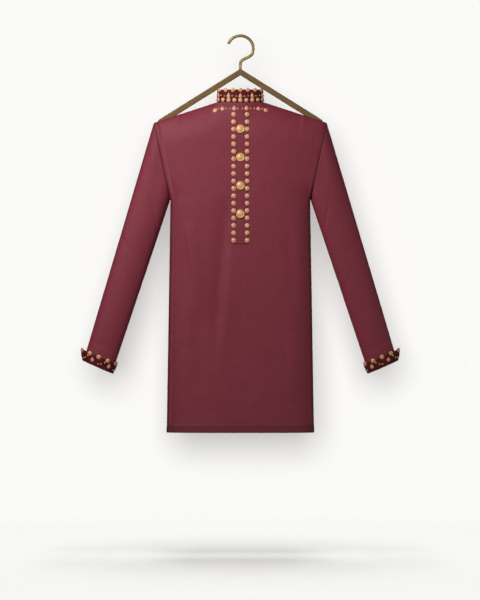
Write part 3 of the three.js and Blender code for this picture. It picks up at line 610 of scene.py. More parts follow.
BODY_CLOTH = woven_material(
    "body_cloth", srgb(135, 47, 63), srgb(62, 18, 28), pitch=0.0014, slub=0.42, specular=0.36
)
TRIM_CLOTH = woven_material(
    "trim_cloth", srgb(90, 9, 10), srgb(40, 5, 7), pitch=0.0010, slub=0.40, sheen=0.02, specular=0.25
)
THREAD = woven_material("thread", srgb(96, 34, 46), srgb(96, 34, 46), pitch=0.0004, slub=0.10)
BEAD_GILT = metal_material(
    "bead_gilt",
    srgb(240, 184, 138),
    srgb(212, 150, 108),
    scale=260.0,
    roughness=0.47,
    metallic=0.12,
    tints=(srgb(246, 192, 140), srgb(242, 178, 150)),
)
BUTTON_GILT = metal_material(
    "button_gilt", srgb(248, 202, 142), srgb(218, 166, 106), scale=180.0, roughness=0.40, metallic=0.25
)
BRASS = metal_material(
    "hook_wire", srgb(170, 150, 84), srgb(134, 114, 58), scale=60.0, roughness=0.45, metallic=0.5
)
WOOD = wood_material()

# ------------------------------------------------------------------ front and back
ARMHOLE_ROWS = 44
LOWER_ROWS = 104
NECK_COLUMNS, NECK_INNER = 14, 0.0585  # even columns out to this x, then closer ones up to the neck point
SIDE_COLUMNS, SIDE_FROM, SIDE_EVEN = 34, 0.0700, 0.0125  # even columns again, up to this far from the side
EDGE_STEPS = np.array([0.0004, 0.0009, 0.0016, 0.0026, 0.004, 0.006, 0.009])
NECK_STEPS = np.array([0.0001, 0.0004, 0.0010, 0.0020, 0.0035])
HEM_STEPS = np.array([0.0004, 0.0008, 0.0012, 0.002, 0.003, 0.004, 0.0065, 0.0105, 0.0145, 0.0175, 0.0192])


def panel_grid(panel):
    """The (x, z) places of a panel's points, rows from the top and columns to the right."""
    middle = np.linspace(0, NECK_INNER, NECK_COLUMNS)
    side = np.linspace(SIDE_FROM, TIP_X - SIDE_EVEN, SIDE_COLUMNS)
    slot = [SLOT_FROM, SLOT_OPEN, SLOT_FULL, (SLOT_FULL + SLOT_TO) / 2, SLOT_TO]
    edges = [NECK_X - NECK_STEPS, [NECK_X], TIP_X - EDGE_STEPS, [TIP_X]]
    columns = np.unique(np.concatenate([middle, side, slot, *edges]))
    columns = np.concatenate([-columns[:0:-1], columns]) * -panel.side
    armhole = (TIP_Z - UNDERARM_Z) / (TIP_Z - HEM_LINE)
    ring = (1 - np.cos(np.pi * np.arange(ARMHOLE_ROWS + 1) / ARMHOLE_ROWS)) / 2
    lower = lerp(armhole, 1, np.arange(1, LOWER_ROWS + 1) / LOWER_ROWS)
    shares = np.concatenate([armhole * ring, lower])[:, None]
    hem = HEM_LINE - np.append(HEM_STEPS, HEM_TURN)[:, None]
    top, _ = panel.top(columns)
    z = np.concatenate([lerp(top[None], HEM_LINE, shares), hem + 0 * columns])
    out = np.abs(columns)[None]
    drawn_in = lerp(NECK_INNER, half_width(z), (out - NECK_INNER) / (TIP_X - NECK_INNER))
    x = np.sign(columns) * np.where(out <= NECK_INNER, out, drawn_in)
    return x, z


def make_panel(name, panel):
    x, z = panel_grid(panel)
    relief = panel.relief(x, z)
    below_line = HEM_LINE - z
    outer = panel.place(x, z, relief)
    inner = panel.place(x, z, relief - CLOTH - HEM_RISE * ease(below_line / HEM_STEP))
    from_seam = panel.from_seam(x, z)
    # Painted shade beside the armhole and side seams, where the body rounds away from the light, with less
    # of it above the underarm.
    worn = sum(share * ridge(from_seam, width) for share, width in SEAM_PAINTED_SHADE)
    at_side = lerp(ARMHOLE_PAINTED_SHADE, 1.0, ease((UNDERARM_Z + PAINTED_SHADE_CHANGE / 2 - z) / PAINTED_SHADE_CHANGE))
    hem_shade = HEM_SHADE * ease(below_line / HEM_LINE_WIDTH)
    hem_shade += HEM_LINE_SHADE * ridge(below_line - HEM_LINE_WIDTH / 2, HEM_LINE_WIDTH)
    seam = np.clip(ridge(from_seam, SEAM_LINE) + worn * at_side + hem_shade, 0, 1)
    piece = wall(name, outer, inner, BODY_CLOTH, rolls=(0, 0.4), masks={"seam": seam})
    return piece, cut_size(outer)


# ------------------------------------------------------------------ sleeves
class Tube:
    """A tube between an outer and an inner edge, each an (x, z) pair of ends, for the right side."""

    def __init__(self, outer, inner, depth, seam=None):
        self.outer, self.inner = [np.array(end) for end in outer], [np.array(end) for end in inner]
        self.depth, self.seam = depth, seam

    def raw(self, turn, along):
        share = (1 - np.cos(turn)) / 2
        edges = [lerp(a, b, along[..., None]) for a, b in (self.outer, self.inner)]
        at = lerp(edges[0], edges[1], share[..., None])
        y = -np.sign(np.sin(turn)) * self.depth(share, along)
        return np.stack([at[..., 0], y, at[..., 1]], axis=-1)

    def place(self, turn, along, lift=0.0):
        turn, along, lift = float_arrays(turn, along, lift)
        step = 0.004
        inside = np.clip(along, 0, 1)
        here = self.raw(turn, inside)
        across = self.raw(turn + step, inside) - self.raw(turn - step, inside)
        low, high = np.clip(inside + step, 0, 1), np.clip(inside - step, 0, 1)
        down = (self.raw(turn, low) - self.raw(turn, high)) / (low - high)[..., None]
        normal = unit(np.cross(across, down))
        if self.seam is not None:
            square = normal - self.seam * np.sum(normal * self.seam, axis=-1, keepdims=True)
            normal = np.where((inside < 1e-9)[..., None], unit(square), normal)
        return here + down * (along - inside)[..., None] + normal * lift[..., None]


def oval(share):
    return 2 * np.sqrt(np.maximum(0, share * (1 - share)))


def make_sleeve_tube():
    outer_end, inner_end = np.array(CUFF_OUTER_BOTTOM), np.array(CUFF_INNER_BOTTOM)
    inset = SLEEVE_INSET / np.linalg.norm(outer_end - inner_end)
    raised = np.array([-0.3 * SLEEVE_ABOVE, SLEEVE_ABOVE])
    ends = [lerp(outer_end, inner_end, inset) + raised, lerp(inner_end, outer_end, inset) + raised]
    shift = ARMHOLE_OUT[[0, 2]] * GAP
    starts = [np.array([TIP_X, TIP_Z]) + shift, np.array([UNDERARM_X, UNDERARM_Z]) + shift]

    def depth(share, along):
        seam_x, seam_z = lerp(TIP_X, UNDERARM_X, share), lerp(TIP_Z, UNDERARM_Z, share)
        armhole = FRONT.depth(seam_x, seam_z) - GAP / 2
        tube = lerp(ARMHOLE_HALF_DEPTH, SLEEVE_END_DEPTH, along) * oval(share)
        return lerp(armhole, tube, ease(along / 0.3))

    return Tube((starts[0], ends[0]), (starts[1], ends[1]), depth, seam=ARMHOLE_OUT)


SLEEVE = make_sleeve_tube()
SLEEVE_LENGTH, SLEEVE_ROWS = 0.690, 120
SLEEVE_PAINTED_SHADE = [(0.55, 0.035), (0.25, 0.15)]  # painted shade beside its long seams, where the sleeve rounds away from the light: share, share of the width
SLEEVE_WAVE, WAVES_ROUND, WAVES_DOWN = 0.0006, 8, 9
LONG_SEAM_GROOVE, LONG_SEAM_WIDTH = 0.0006, 0.06
PUCKERS_ROUND = 60
CREASE_REACH = 0.13  # how far round the sleeve a crease goes, as a share
# Soft creases of the sleeve: share along it, slant over the turn, width as a share, rise, place round it.
SLEEVE_CREASES = [
    (0.17, 0.035, 0.016, -0.0011, 0.60),
    (0.45, -0.030, 0.014, -0.0010, 0.35),
    (0.52, 0.026, 0.013, -0.0009, 0.62),
    (0.90, -0.016, 0.010, -0.0008, 0.45),
]


def sleeve_relief(turn, along, seed):
    round_share = (turn / (2 * np.pi)) % 1
    lift = SLEEVE_WAVE * uneven(WAVES_ROUND * round_share, along * WAVES_DOWN, 1.0, seed) * np.sin(turn) ** 2
    lift *= ease(along / 0.06) * ease((1 - along) / 0.05)
    for at, slant, width, rise, centre in SLEEVE_CREASES:
        for facing in (0.25, 0.75):
            middle = centre - 0.5 + facing
            line = along - at - slant * np.sin(2 * np.pi * (round_share - facing))
            lift += rise * ridge(line, width) * ridge(round_share - middle, CREASE_REACH)
    down = along * SLEEVE_LENGTH
    lift -= SEAM_GROOVE * ridge(down, SEAM_GROOVE_WIDTH)
    puckers = uneven(round_share * PUCKERS_ROUND, 0 * along, 1.0, seed + 2)
    lift += PUCKER * ridge(down - PUCKER_PLACE, PUCKER_PLACE) * puckers
    return lift - LONG_SEAM_GROOVE * ridge(np.sin(turn), LONG_SEAM_WIDTH)


def sleeve_grids(side, seed):
    """Half a sleeve: side -1 is its front, 1 its back."""
    turn = -np.pi * (np.arange(ARMHOLE_ROWS + 1) / ARMHOLE_ROWS + (side < 0))
    near = np.array([0, 0.0005, 0.0011, 0.0018, 0.0028, 0.0042, 0.0062, 0.009, 0.0125]) / SLEEVE_LENGTH
    along = np.concatenate([near, np.linspace(0.0175 / SLEEVE_LENGTH, 1, SLEEVE_ROWS)])
    turn, along = np.meshgrid(turn, along)
    relief = sleeve_relief(turn, along, seed)
    shift = np.array([0, side * GAP / 2, 0])
    outer = SLEEVE.place(turn, along, relief) + shift
    inner = SLEEVE.place(turn, along, relief - CLOTH) + shift
    # Painted shade along the sleeve's long edges, where it rounds away from the light.
    from_edge = np.abs(np.sin(turn)) * 0.5
    worn = sum(share * ridge(from_edge, width) for share, width in SLEEVE_PAINTED_SHADE)
    return outer, inner, ridge(along * SLEEVE_LENGTH, SEAM_LINE) + worn


# ------------------------------------------------------------------ collar
def collar_oval():
    """The collar's plan as points a fixed step of arc apart, from the front's middle to the right."""
    turn = np.linspace(0, 2 * np.pi, 2881)
    s, c = np.sin(turn), np.cos(turn)
    power = 2 / COLLAR_POWER
    x = COLLAR_HALF_WIDTH * np.sign(s) * np.abs(s) ** power
    y = -COLLAR_HALF_DEPTH * np.sign(c) * np.abs(c) ** power
    plan = np.stack([x, y], axis=-1)
    return plan, arc_lengths(plan, 0)


COLLAR_PLAN, COLLAR_ARCS = collar_oval()
COLLAR_ROUND = COLLAR_ARCS[-1]


def collar_point(arc):
    arc = np.mod(arc, COLLAR_ROUND)
    return np.stack([np.interp(arc, COLLAR_ARCS, COLLAR_PLAN[:, k]) for k in (0, 1)], axis=-1)


def on_collar(arc, z, lift=0.0):
    arc, z, lift = float_arrays(arc, z, lift)
    along = unit(collar_point(arc + 0.0005) - collar_point(arc - 0.0005))
    at = collar_point(arc)
    return np.stack([at[..., 0] + along[..., 1] * lift, at[..., 1] - along[..., 0] * lift, z], axis=-1)


def collar_base(arc):
    at = collar_point(arc)
    dip = NECKLINE_DIP * (1 - np.clip(np.abs(at[..., 0]) / NECK_X, 0, 1) ** 2)
    return NECK_Z - np.where(at[..., 1] < 0, dip, 0) + GAP


EDGE_SHARES = [0, 0.02, 0.05]
# Where the stitches of the collar and the cuffs run, and how wide they press in, as shares of the height.
COLLAR_SEWN, CUFF_SEWN, SEWN_WIDTH = (0.90, 0.06), 0.88, 0.03
INNER_RELIEF = 0.3  # the part of the outer layer's relief that shows inside


def band_shares(steps):
    """Shares of a band's height, closer at its two edges."""
    return np.concatenate([EDGE_SHARES, np.linspace(0.1, 0.9, steps), [0.95, 0.98, 1]])


def padding(share):
    return TRIM_PADDING * (1 - (2 * share - 1) ** 6)


def make_collar():
    arcs = np.linspace(0, COLLAR_ROUND, 300, endpoint=False)
    arc, share = np.meshgrid(arcs, band_shares(15)[::-1])
    z = lerp(collar_base(arc), COLLAR_TOP, share)
    stitched = STITCH_GROOVE * sum(ridge(share - at, SEWN_WIDTH) for at in COLLAR_SEWN)
    relief = padding(share) - stitched + TRIM_GRAIN * uneven(arc, z, TRIM_GRAIN_SIZE, 41)
    outer, inner = on_collar(arc, z, relief), on_collar(arc, z, relief * INNER_RELIEF - STIFF)
    masks = {"seam": 0.7 * ridge(share, 0.05) + 0.3 * ridge(share - COLLAR_SEWN[0], SEWN_WIDTH)}
    piece = wall("collar_cloth", outer, inner, TRIM_CLOTH, wrapped=True, rolls=(0.5, 0.1), masks=masks)
    return piece, cut_size(outer, wrapped=True)


# ------------------------------------------------------------------ placket
def make_placket():
    half = PLACKET_HALF_WIDTH
    near = np.array([0, 0.0003, 0.0008, 0.0016])
    across = np.concatenate([near, np.linspace(0.003, 2 * half - 0.003, 24), 2 * half - near[::-1]]) - half
    length = PLACKET_TOP - PLACKET_BOTTOM
    ends = np.array([0, 0.0003, 0.0009])
    down = np.concatenate([ends, np.linspace(0.002, length - 0.002, 160), length - ends[::-1]])
    x, z = np.meshgrid(across, PLACKET_TOP - down)
    from_edge = np.minimum(half - np.abs(x), z - PLACKET_BOTTOM)
    from_sewing = from_edge - SEWN_FROM_PLACKET_EDGE
    fall = PLACKET_CLOTH * 0.7 * (1 - round_out(from_edge / PLACKET_ROUNDING))
    groove = PLACKET_GROOVE * ridge(from_sewing, STITCH_GROOVE_WIDTH)
    grain = PLACKET_GRAIN * uneven(x, z, PLACKET_GRAIN_SIZE, 51)
    relief = grain * ease(from_edge / 0.006) - groove - fall
    outer = FRONT.place(x, z, PLACKET_LIFT + PLACKET_CLOTH + relief)
    inner = FRONT.place(x, z, PLACKET_LIFT)
    masks = {"seam": 0.5 * ridge(from_edge, 0.0014) + 0.25 * ridge(from_sewing, 0.0010)}
    piece = wall("placket_cloth", outer, inner, BODY_CLOTH, rolls=(0, 0), masks=masks)
    return piece, cut_size(outer)


# ------------------------------------------------------------------ cuffs
CUFF = Tube(
    (CUFF_OUTER_TOP, CUFF_OUTER_BOTTOM),
    (CUFF_INNER_TOP, CUFF_INNER_BOTTOM),
    lambda share, along: lerp(CUFF_DEPTH_TOP, CUFF_DEPTH_BOTTOM, along) * oval(share),
)
CUFF_HEIGHT = 0.93 * math.dist(CUFF_OUTER_TOP, CUFF_OUTER_BOTTOM)
_turns = -2 * np.pi * np.arange(721) / 720
_cuff_arcs = arc_lengths(CUFF.place(_turns, 0 * _turns), 0)
CUFF_ROUND = _cuff_arcs[-1]


def on_cuff(arc, drop, lift=0.0):
    """Points of the right cuff: arc round its top edge from the outer side, drop below that edge."""
    turn = np.interp(np.mod(arc, CUFF_ROUND), _cuff_arcs, _turns)
    return CUFF.place(turn, np.asarray(drop) / CUFF_HEIGHT, lift)


def cuff_grids(seed):
    arcs = np.linspace(0, CUFF_ROUND, 200, endpoint=False)
    arc, share = np.meshgrid(arcs, band_shares(13))
    stitched = STITCH_GROOVE * ridge(share - CUFF_SEWN, SEWN_WIDTH)
    relief = padding(share) - stitched + TRIM_GRAIN * uneven(arc, share * 0.03, TRIM_GRAIN_SIZE, seed)
    drop = share * CUFF_HEIGHT
    seam = 0.35 * ridge(share - CUFF_SEWN, SEWN_WIDTH) + 0.5 * ridge(share - 1, 0.04)
    return on_cuff(arc, drop, relief), on_cuff(arc, drop, relief * INNER_RELIEF - STIFF), seam


# ------------------------------------------------------------------ beads, drops and stitches
def domed(name, outline, profile):
    """A closed cap over a flat outline: profile gives shares of the outline and heights, from the rim."""
    count = len(outline)
    centre = outline.mean(axis=0)
    rings = []
    for share, height in profile:
        rings.append(np.column_stack([lerp(centre, outline, share), np.full(count, height)]))
    base, peak = rings[0][:, 2].min(), profile[-1][1] + profile[-2][1] * 0.02
    vertices = np.concatenate([*rings, [[*centre, base]], [[*centre, peak]]])
    bottom, top = len(vertices) - 2, len(vertices) - 1
    turn = np.arange(count)
    nxt = (turn + 1) % count
    faces = []
    for k in range(len(rings) - 1):
        low, high = k * count, (k + 1) * count
        faces += np.stack([low + turn, low + nxt, high + nxt, high + turn], axis=1).tolist()
    last = (len(rings) - 1) * count
    faces += [[last + a, last + b, top] for a, b in zip(turn, nxt)]
    faces += [[b, a, bottom] for a, b in zip(turn, nxt)]
    mesh = bpy.data.meshes.new(name)
    mesh.from_pydata(vertices.tolist(), [], faces)
    mesh.shade_smooth()
    return link(name, mesh)


def round_outline(sides, radius=1.0):
    turn = 2 * np.pi * np.arange(sides) / sides
    return radius * np.stack([np.cos(turn), np.sin(turn)], axis=-1)


def drop_outline(sides, tip):
    """Round below and drawn out above to a tip, for a radius of 1."""
    turn = np.radians(np.linspace(148, 392, sides))
    body = np.stack([np.cos(turn), np.sin(turn)], axis=-1)
    share = np.linspace(0, 1, 5)[1:-1, None]
    end = np.array([0.0, tip])
    bow = np.array([0.06, 0.0]) * np.sin(np.pi * share)
    right, left = lerp(body[-1], end, share) - bow, lerp(end, body[0], share) + bow
    return np.concatenate([body, right, [end], left])


# A rimmed stud: shares of the outline and heights, for a bead of radius 1.
STUD = [(0.97, -0.10), (1.0, 0.02), (1.0, 0.09), (0.93, 0.14), (0.86, 0.09), (0.80, 0.12)]
STUD += [(0.66, 0.24), (0.48, 0.32), (0.26, 0.37), (0.1, 0.385)]
ROUND_BEAD = domed("round_bead", round_outline(20), STUD)
DROP_BEAD = domed("drop_bead", drop_outline(15, 1.85), STUD)
LONG_DROP_BEAD = domed("long_drop_bead", drop_outline(15, 2.2), STUD)
SEED_PROFILE = [(0.7, -0.2), (1.0, 0.15), (0.94, 0.5), (0.66, 0.86), (0.3, 0.98)]
SEED_BEAD = domed("seed_bead", round_outline(12), SEED_PROFILE)
STITCH_HALF_SIZE = [0.0013, 0.00032]
STITCH_PROFILE = [(1.0, -0.0002), (1.0, 0.0001), (0.8, 0.00026), (0.4, 0.00032)]
STITCH = domed("stitch", round_outline(10) * STITCH_HALF_SIZE, STITCH_PROFILE)


def geometry_tree(name, inputs):
    tree = bpy.data.node_groups.new(name, "GeometryNodeTree")
    tree.interface.new_socket("Geometry", in_out="INPUT", socket_type="NodeSocketGeometry")
    for label, kind in inputs.items():
        tree.interface.new_socket(label, in_out="INPUT", socket_type=kind)
    tree.interface.new_socket("Geometry", in_out="OUTPUT", socket_type="NodeSocketGeometry")
    return tree, tree.nodes.new("NodeGroupInput"), tree.nodes.new("NodeGroupOutput")


def named(tree, name, kind):
    reader = add_node(tree, "GeometryNodeInputNamedAttribute", {"Name": name}, data_type=kind)
    return reader.outputs[0]


def finish_tree(tree, given, out, geometry):
    real = add_node(tree, "GeometryNodeRealizeInstances", {0: geometry}).outputs[0]
    inputs = {"Geometry": real, "Material": given.outputs["Finish"]}
    made = add_node(tree, "GeometryNodeSetMaterial", inputs)
    tree.links.new(made.outputs[0], out.inputs[0])


def set_out(tree, points, instance, outward, upward, second_axis, **more):
    """Places one form on points, facing out, and returns the node's geometry."""
    axes = {0: outward, 1: upward}
    facing = add_node(tree, "FunctionNodeAxesToRotation", axes, primary_axis="Z", secondary_axis=second_axis)
    form = add_node(tree, "GeometryNodeObjectInfo", {"Object": instance}).outputs["Geometry"]
    spots = {"Points": points, "Instance": form, "Rotation": facing.outputs[0], **more}
    return add_node(tree, "GeometryNodeInstanceOnPoints", spots).outputs[0]


def bead_tree():
    """Sets one bead on each point whose form it has, facing out, with a tint of its own."""
    inputs = {
        "Bead": "NodeSocketObject",
        "Form": "NodeSocketInt",
        "Size": "NodeSocketFloat",
        "Seed": "NodeSocketInt",
        "Finish": "NodeSocketMaterial",
    }
    tree, given, out = geometry_tree("set_beads", inputs)
    forms = {2: named(tree, "form", "INT"), 3: given.outputs["Form"]}
    same = add_node(tree, "FunctionNodeCompare", forms, data_type="INT", operation="EQUAL").outputs[0]
    size = math_node(tree, "MULTIPLY", named(tree, "radius", "FLOAT"), given.outputs["Size"])
    outward, upward = named(tree, "outward", "FLOAT_VECTOR"), named(tree, "upward", "FLOAT_VECTOR")
    bead = given.outputs["Bead"]
    placed = set_out(tree, given.outputs[0], bead, outward, upward, "Y", Selection=same, Scale=size)
    chance = add_node(tree, "FunctionNodeRandomValue", {"Seed": given.outputs["Seed"]}, data_type="FLOAT")
    stored = {"Geometry": placed, "Name": "tint", "Value": chance.outputs[1]}
    kinds = {"data_type": "FLOAT", "domain": "INSTANCE"}
    tinted = add_node(tree, "GeometryNodeStoreNamedAttribute", stored, **kinds).outputs[0]
    finish_tree(tree, given, out, tinted)
    return tree


def stitch_tree():
    """Sets stitches end to end along a line, lying on the cloth."""
    inputs = {"Stitch": "NodeSocketObject", "Pitch": "NodeSocketFloat", "Finish": "NodeSocketMaterial"}
    tree, given, out = geometry_tree("run_stitches", inputs)
    line = add_node(tree, "GeometryNodeMeshToCurve", {0: given.outputs[0]}).outputs[0]
    pace = {"Curve": line, "Length": given.outputs["Pitch"]}
    paced = add_node(tree, "GeometryNodeResampleCurve", pace, mode="LENGTH").outputs[0]
    outward = named(tree, "outward", "FLOAT_VECTOR")
    along = add_node(tree, "GeometryNodeInputTangent").outputs[0]
    stitches = set_out(tree, paced, given.outputs["Stitch"], outward, along, "X")
    finish_tree(tree, given, out, stitches)
    return tree


def grown(name, mesh, tree, values):
    """Runs a geometry tree on a mesh and returns the result as a plain mesh piece."""
    holder = link(name + "_points", mesh)
    modifier = holder.modifiers.new("grow", "NODES")
    modifier.node_group = tree
    for socket in tree.interface.items_tree:
        if socket.in_out == "INPUT" and socket.name in values:
            modifier[socket.identifier] = values[socket.name]
    graph = bpy.context.evaluated_depsgraph_get()
    result = bpy.data.meshes.new_from_object(holder.evaluated_get(graph), depsgraph=graph)
    result.name = name
    bpy.data.objects.remove(holder)
    return link(name, result)


def joined(name, pieces):
    with bpy.context.temp_override(active_object=pieces[0], selected_editable_objects=pieces):
        bpy.ops.object.join()
    pieces[0].name = pieces[0].data.name = name
    return pieces[0]


ROUND, DROP, LONG_DROP, SEED = 0, 1, 2, 3
BEAD_SHAPES = {ROUND: ROUND_BEAD, DROP: DROP_BEAD, LONG_DROP: LONG_DROP_BEAD, SEED: SEED_BEAD}
SET_BEADS = bead_tree()
RUN_STITCHES = stitch_tree()


def bead_points(place, spots):
    """Points with the directions a bead needs. spots are (a, b, radius, form) on the surface place."""
    a, b, radius, form = (np.array(column, float) for column in zip(*spots))
    here = place(a, b, 0.0)
    outward = unit(place(a, b, 0.001) - here)
    upward = unit(place(a, b + 0.001, 0.0) - here)
    return {"at": here, "outward": outward, "upward": upward, "radius": radius, "form": form}


def put(mesh, name, kind, field, values):
    mesh.attributes.new(name, kind, "POINT").data.foreach_set(field, np.ravel(values))


def set_beads(name, points, form, seed, finish):
    """One form of bead on its points, as a plain mesh."""
    mesh = bpy.data.meshes.new(name + "_points")
    mesh.from_pydata(points["at"].tolist(), [], [])
    for key in ("outward", "upward"):
        put(mesh, key, "FLOAT_VECTOR", "vector", points[key])
    put(mesh, "radius", "FLOAT", "value", points["radius"])
    put(mesh, "form", "INT", "value", points["form"].astype(np.int32))
    values = {"Bead": BEAD_SHAPES[form], "Form": form, "Size": 1.0, "Seed": seed, "Finish": finish}
    return grown(name, mesh, SET_BEADS, values)


def make_beads(name, points, seed, mirror=False):
    """All the beads of one trim as one piece."""
    if mirror:
        points = {**points, **{key: points[key] * [-1, 1, 1] for key in ("at", "outward", "upward")}}
    forms = [form for form in BEAD_SHAPES if np.any(points["form"] == form)]
    return joined(name, [set_beads(f"{name}_{form}", points, form, seed, BEAD_GILT) for form in forms])


def make_stitches(name, lines):
    """Stitches along lines, each a grid of points and one of outward directions."""
    mesh = bpy.data.meshes.new(name + "_lines")
    points = np.concatenate([at for at, _ in lines])
    outward = np.concatenate([out for _, out in lines])
    edges, start = [], 0
    for at, _ in lines:
        edges += [(start + i, start + i + 1) for i in range(len(at) - 1)]
        start += len(at)
    mesh.from_pydata(points.tolist(), edges, [])
    put(mesh, "outward", "FLOAT_VECTOR", "vector", outward)
    values = {"Stitch": STITCH, "Pitch": STITCH_PITCH, "Finish": THREAD}
    return grown(name, mesh, RUN_STITCHES, values)


def line_on(place, a, b, lift):
    a, b = float_arrays(a, b)
    here = place(a, b, lift)
    return here, unit(place(a, b, lift + 0.001) - here)


# Beads and drops of the trims: radius, and height over the collar's base, where there is one.
COLLAR_TOP_RADIUS, COLLAR_TOP_COUNT = 0.0056, 16
COLLAR_BASE_RADIUS, COLLAR_BASE_ABOVE, COLLAR_BASE_COUNT = 0.0055, 0.0062, 20
COLLAR_DROP_RADIUS, COLLAR_DROP_ABOVE = 0.0048, 0.0166
COLLAR_SEED_RADIUS, COLLAR_SEED_ABOVE, COLLAR_SEED_SHIFT = 0.0022, 0.0172, 0.67
TRIM_BEAD_LIFT = 0.0004


def collar_beads():
    pitch = COLLAR_ROUND / COLLAR_BASE_COUNT
    spots = []
    for i in range(COLLAR_TOP_COUNT):
        if i % (COLLAR_TOP_COUNT / 2) != COLLAR_TOP_COUNT / 4:  # none where the bar passes
            spots.append((i / COLLAR_TOP_COUNT * COLLAR_ROUND, COLLAR_TOP, COLLAR_TOP_RADIUS, ROUND))
    for i in range(COLLAR_BASE_COUNT):
        at, base = i * pitch, float(collar_base(i * pitch))
        spots.append((at, base + COLLAR_BASE_ABOVE, COLLAR_BASE_RADIUS, ROUND))
        if i % 2 == 0:
            spots.append((at, base + COLLAR_DROP_ABOVE, COLLAR_DROP_RADIUS, LONG_DROP))
            for side in (-1, 1):
                beside = at + side * COLLAR_SEED_SHIFT * pitch
                spots.append((beside, base + COLLAR_SEED_ABOVE, COLLAR_SEED_RADIUS, SEED))
    points = bead_points(lambda a, b, up: on_collar(a, b, up + TRIM_BEAD_LIFT), spots)
    return make_beads("collar_beads", points, seed=3)


def on_placket(x, z, lift):
    return FRONT.place(x, z, PLACKET_LIFT + PLACKET_CLOTH * 0.75 + lift)


# The row under the collar, on each side: distances from the middle, height, radius and form.
YOKE_Z, YOKE_END_Z = -0.2018, -0.2058
YOKE_DROP, DOT, SEED_DOT = 0.0054, 0.0064, 0.0024
YOKE_ROW = [
    ([0.0504], YOKE_Z, YOKE_DROP, DROP),
    ([0.0710], YOKE_END_Z, DOT, ROUND),
    ([0.0280, 0.0392, 0.0612], YOKE_Z, SEED_DOT, SEED),
]
PLACKET_ROW = [([0.0171], YOKE_Z, YOKE_DROP, DROP), ([0.0066], YOKE_Z, SEED_DOT, SEED)]


def on_both_sides(rows):
    return [(side * x, z, radius, form) for xs, z, radius, form in rows for side in (-1, 1) for x in xs]


def yoke_beads():
    return make_beads("yoke_beads", bead_points(FRONT.on_cloth, on_both_sides(YOKE_ROW)), seed=5)


def placket_beads():
    levels = [PLACKET_BEADS["first"] - i * PLACKET_BEADS["pitch"] for i in range(PLACKET_BEADS["count"])]
    dots = [([PLACKET_HALF_WIDTH], z, DOT, ROUND) for z in levels]
    return make_beads("placket_beads", bead_points(on_placket, on_both_sides(PLACKET_ROW + dots)), seed=7)


# The cuff's beads: how far along, as a share of the pitch, how far below its top edge, radius and form.
CUFF_BEAD_COUNT = 10
CUFF_DOT = (0.0, 0.0, 0.0062, ROUND)
CUFF_GROUP = [  # beside every other dot
    (-0.3, 0.0155, 0.0050, DROP),
    (0.25, 0.0085, 0.0023, SEED),
    (0.62, 0.0165, 0.0023, SEED),
    (0.95, 0.0200, 0.0023, SEED),
]


def cuff_beads(name, mirror):
    pitch = CUFF_ROUND / CUFF_BEAD_COUNT
    spots = []
    for i in range(CUFF_BEAD_COUNT):
        for shift, below, radius, form in [CUFF_DOT] + (CUFF_GROUP if i % 2 == 0 else []):
            spots.append((CUFF_ROUND / 4 + (i + shift) * pitch, -below, radius, form))
    points = bead_points(lambda arc, up, lift: on_cuff(arc, -up, lift + TRIM_BEAD_LIFT), spots)
    return make_beads(name, points, seed=9, mirror=mirror)


# ------------------------------------------------------------------ buttons
# A button's section: shares of its radius and heights, from its underside over its rim to the middle.
BUTTON_PROFILE = [(0.55, 0.0), (0.86, 0.0), (0.97, 0.0007), (1.0, 0.0015), (0.985, 0.0023), (0.93, 0.0028)]
BUTTON_PROFILE += [(0.86, 0.0027), (0.80, 0.0021), (0.75, 0.0020), (0.68, 0.0027), (0.55, 0.0034)]
BUTTON_PROFILE += [(0.38, 0.0039), (0.2, 0.0042), (0.06, 0.0043)]
RIM_GRAINS, RIM_SHARE, RIM_HEIGHT, RIM_GRAIN_RADIUS = 40, 0.80, 0.0021, 0.00062


def make_button(index):
    """A domed gilt shank button with a raised, beaded rim."""
    cap = domed(f"cap_{index}", round_outline(56, BUTTON_RADIUS), BUTTON_PROFILE)
    cap.data.materials.append(BUTTON_GILT)
    ring = round_outline(RIM_GRAINS, BUTTON_RADIUS * RIM_SHARE)
    rim = {
        "at": np.column_stack([ring, np.full(RIM_GRAINS, RIM_HEIGHT)]),
        "outward": np.tile([0.0, 0.0, 1.0], RIM_GRAINS),
        "upward": np.tile([0.0, 1.0, 0.0], RIM_GRAINS),
        "radius": np.full(RIM_GRAINS, RIM_GRAIN_RADIUS),
        "form": np.full(RIM_GRAINS, SEED),
    }
    grains = set_beads(f"grains_{index}", rim, SEED, 1, BUTTON_GILT)
    piece = joined(f"gilt_button_{index}", [cap, grains])
    z = BUTTONS["first"] - (index - 1) * BUTTONS["pitch"]
    lift = PLACKET_LIFT + PLACKET_CLOTH + GAP
    here = FRONT.place(0.0, z, lift)
    out = unit(FRONT.place(0.0, z, lift + 0.001) - here)
    right = unit(np.cross([0, 0, 1.0], out))
    up = np.cross(out, right)
    points = np.empty(3 * len(piece.data.vertices))
    piece.data.vertices.foreach_get("co", points)
    points = points.reshape(-1, 3) @ np.stack([right, up, out]) + here
    piece.data.vertices.foreach_set("co", points.ravel())
    piece.data.update()
    return piece


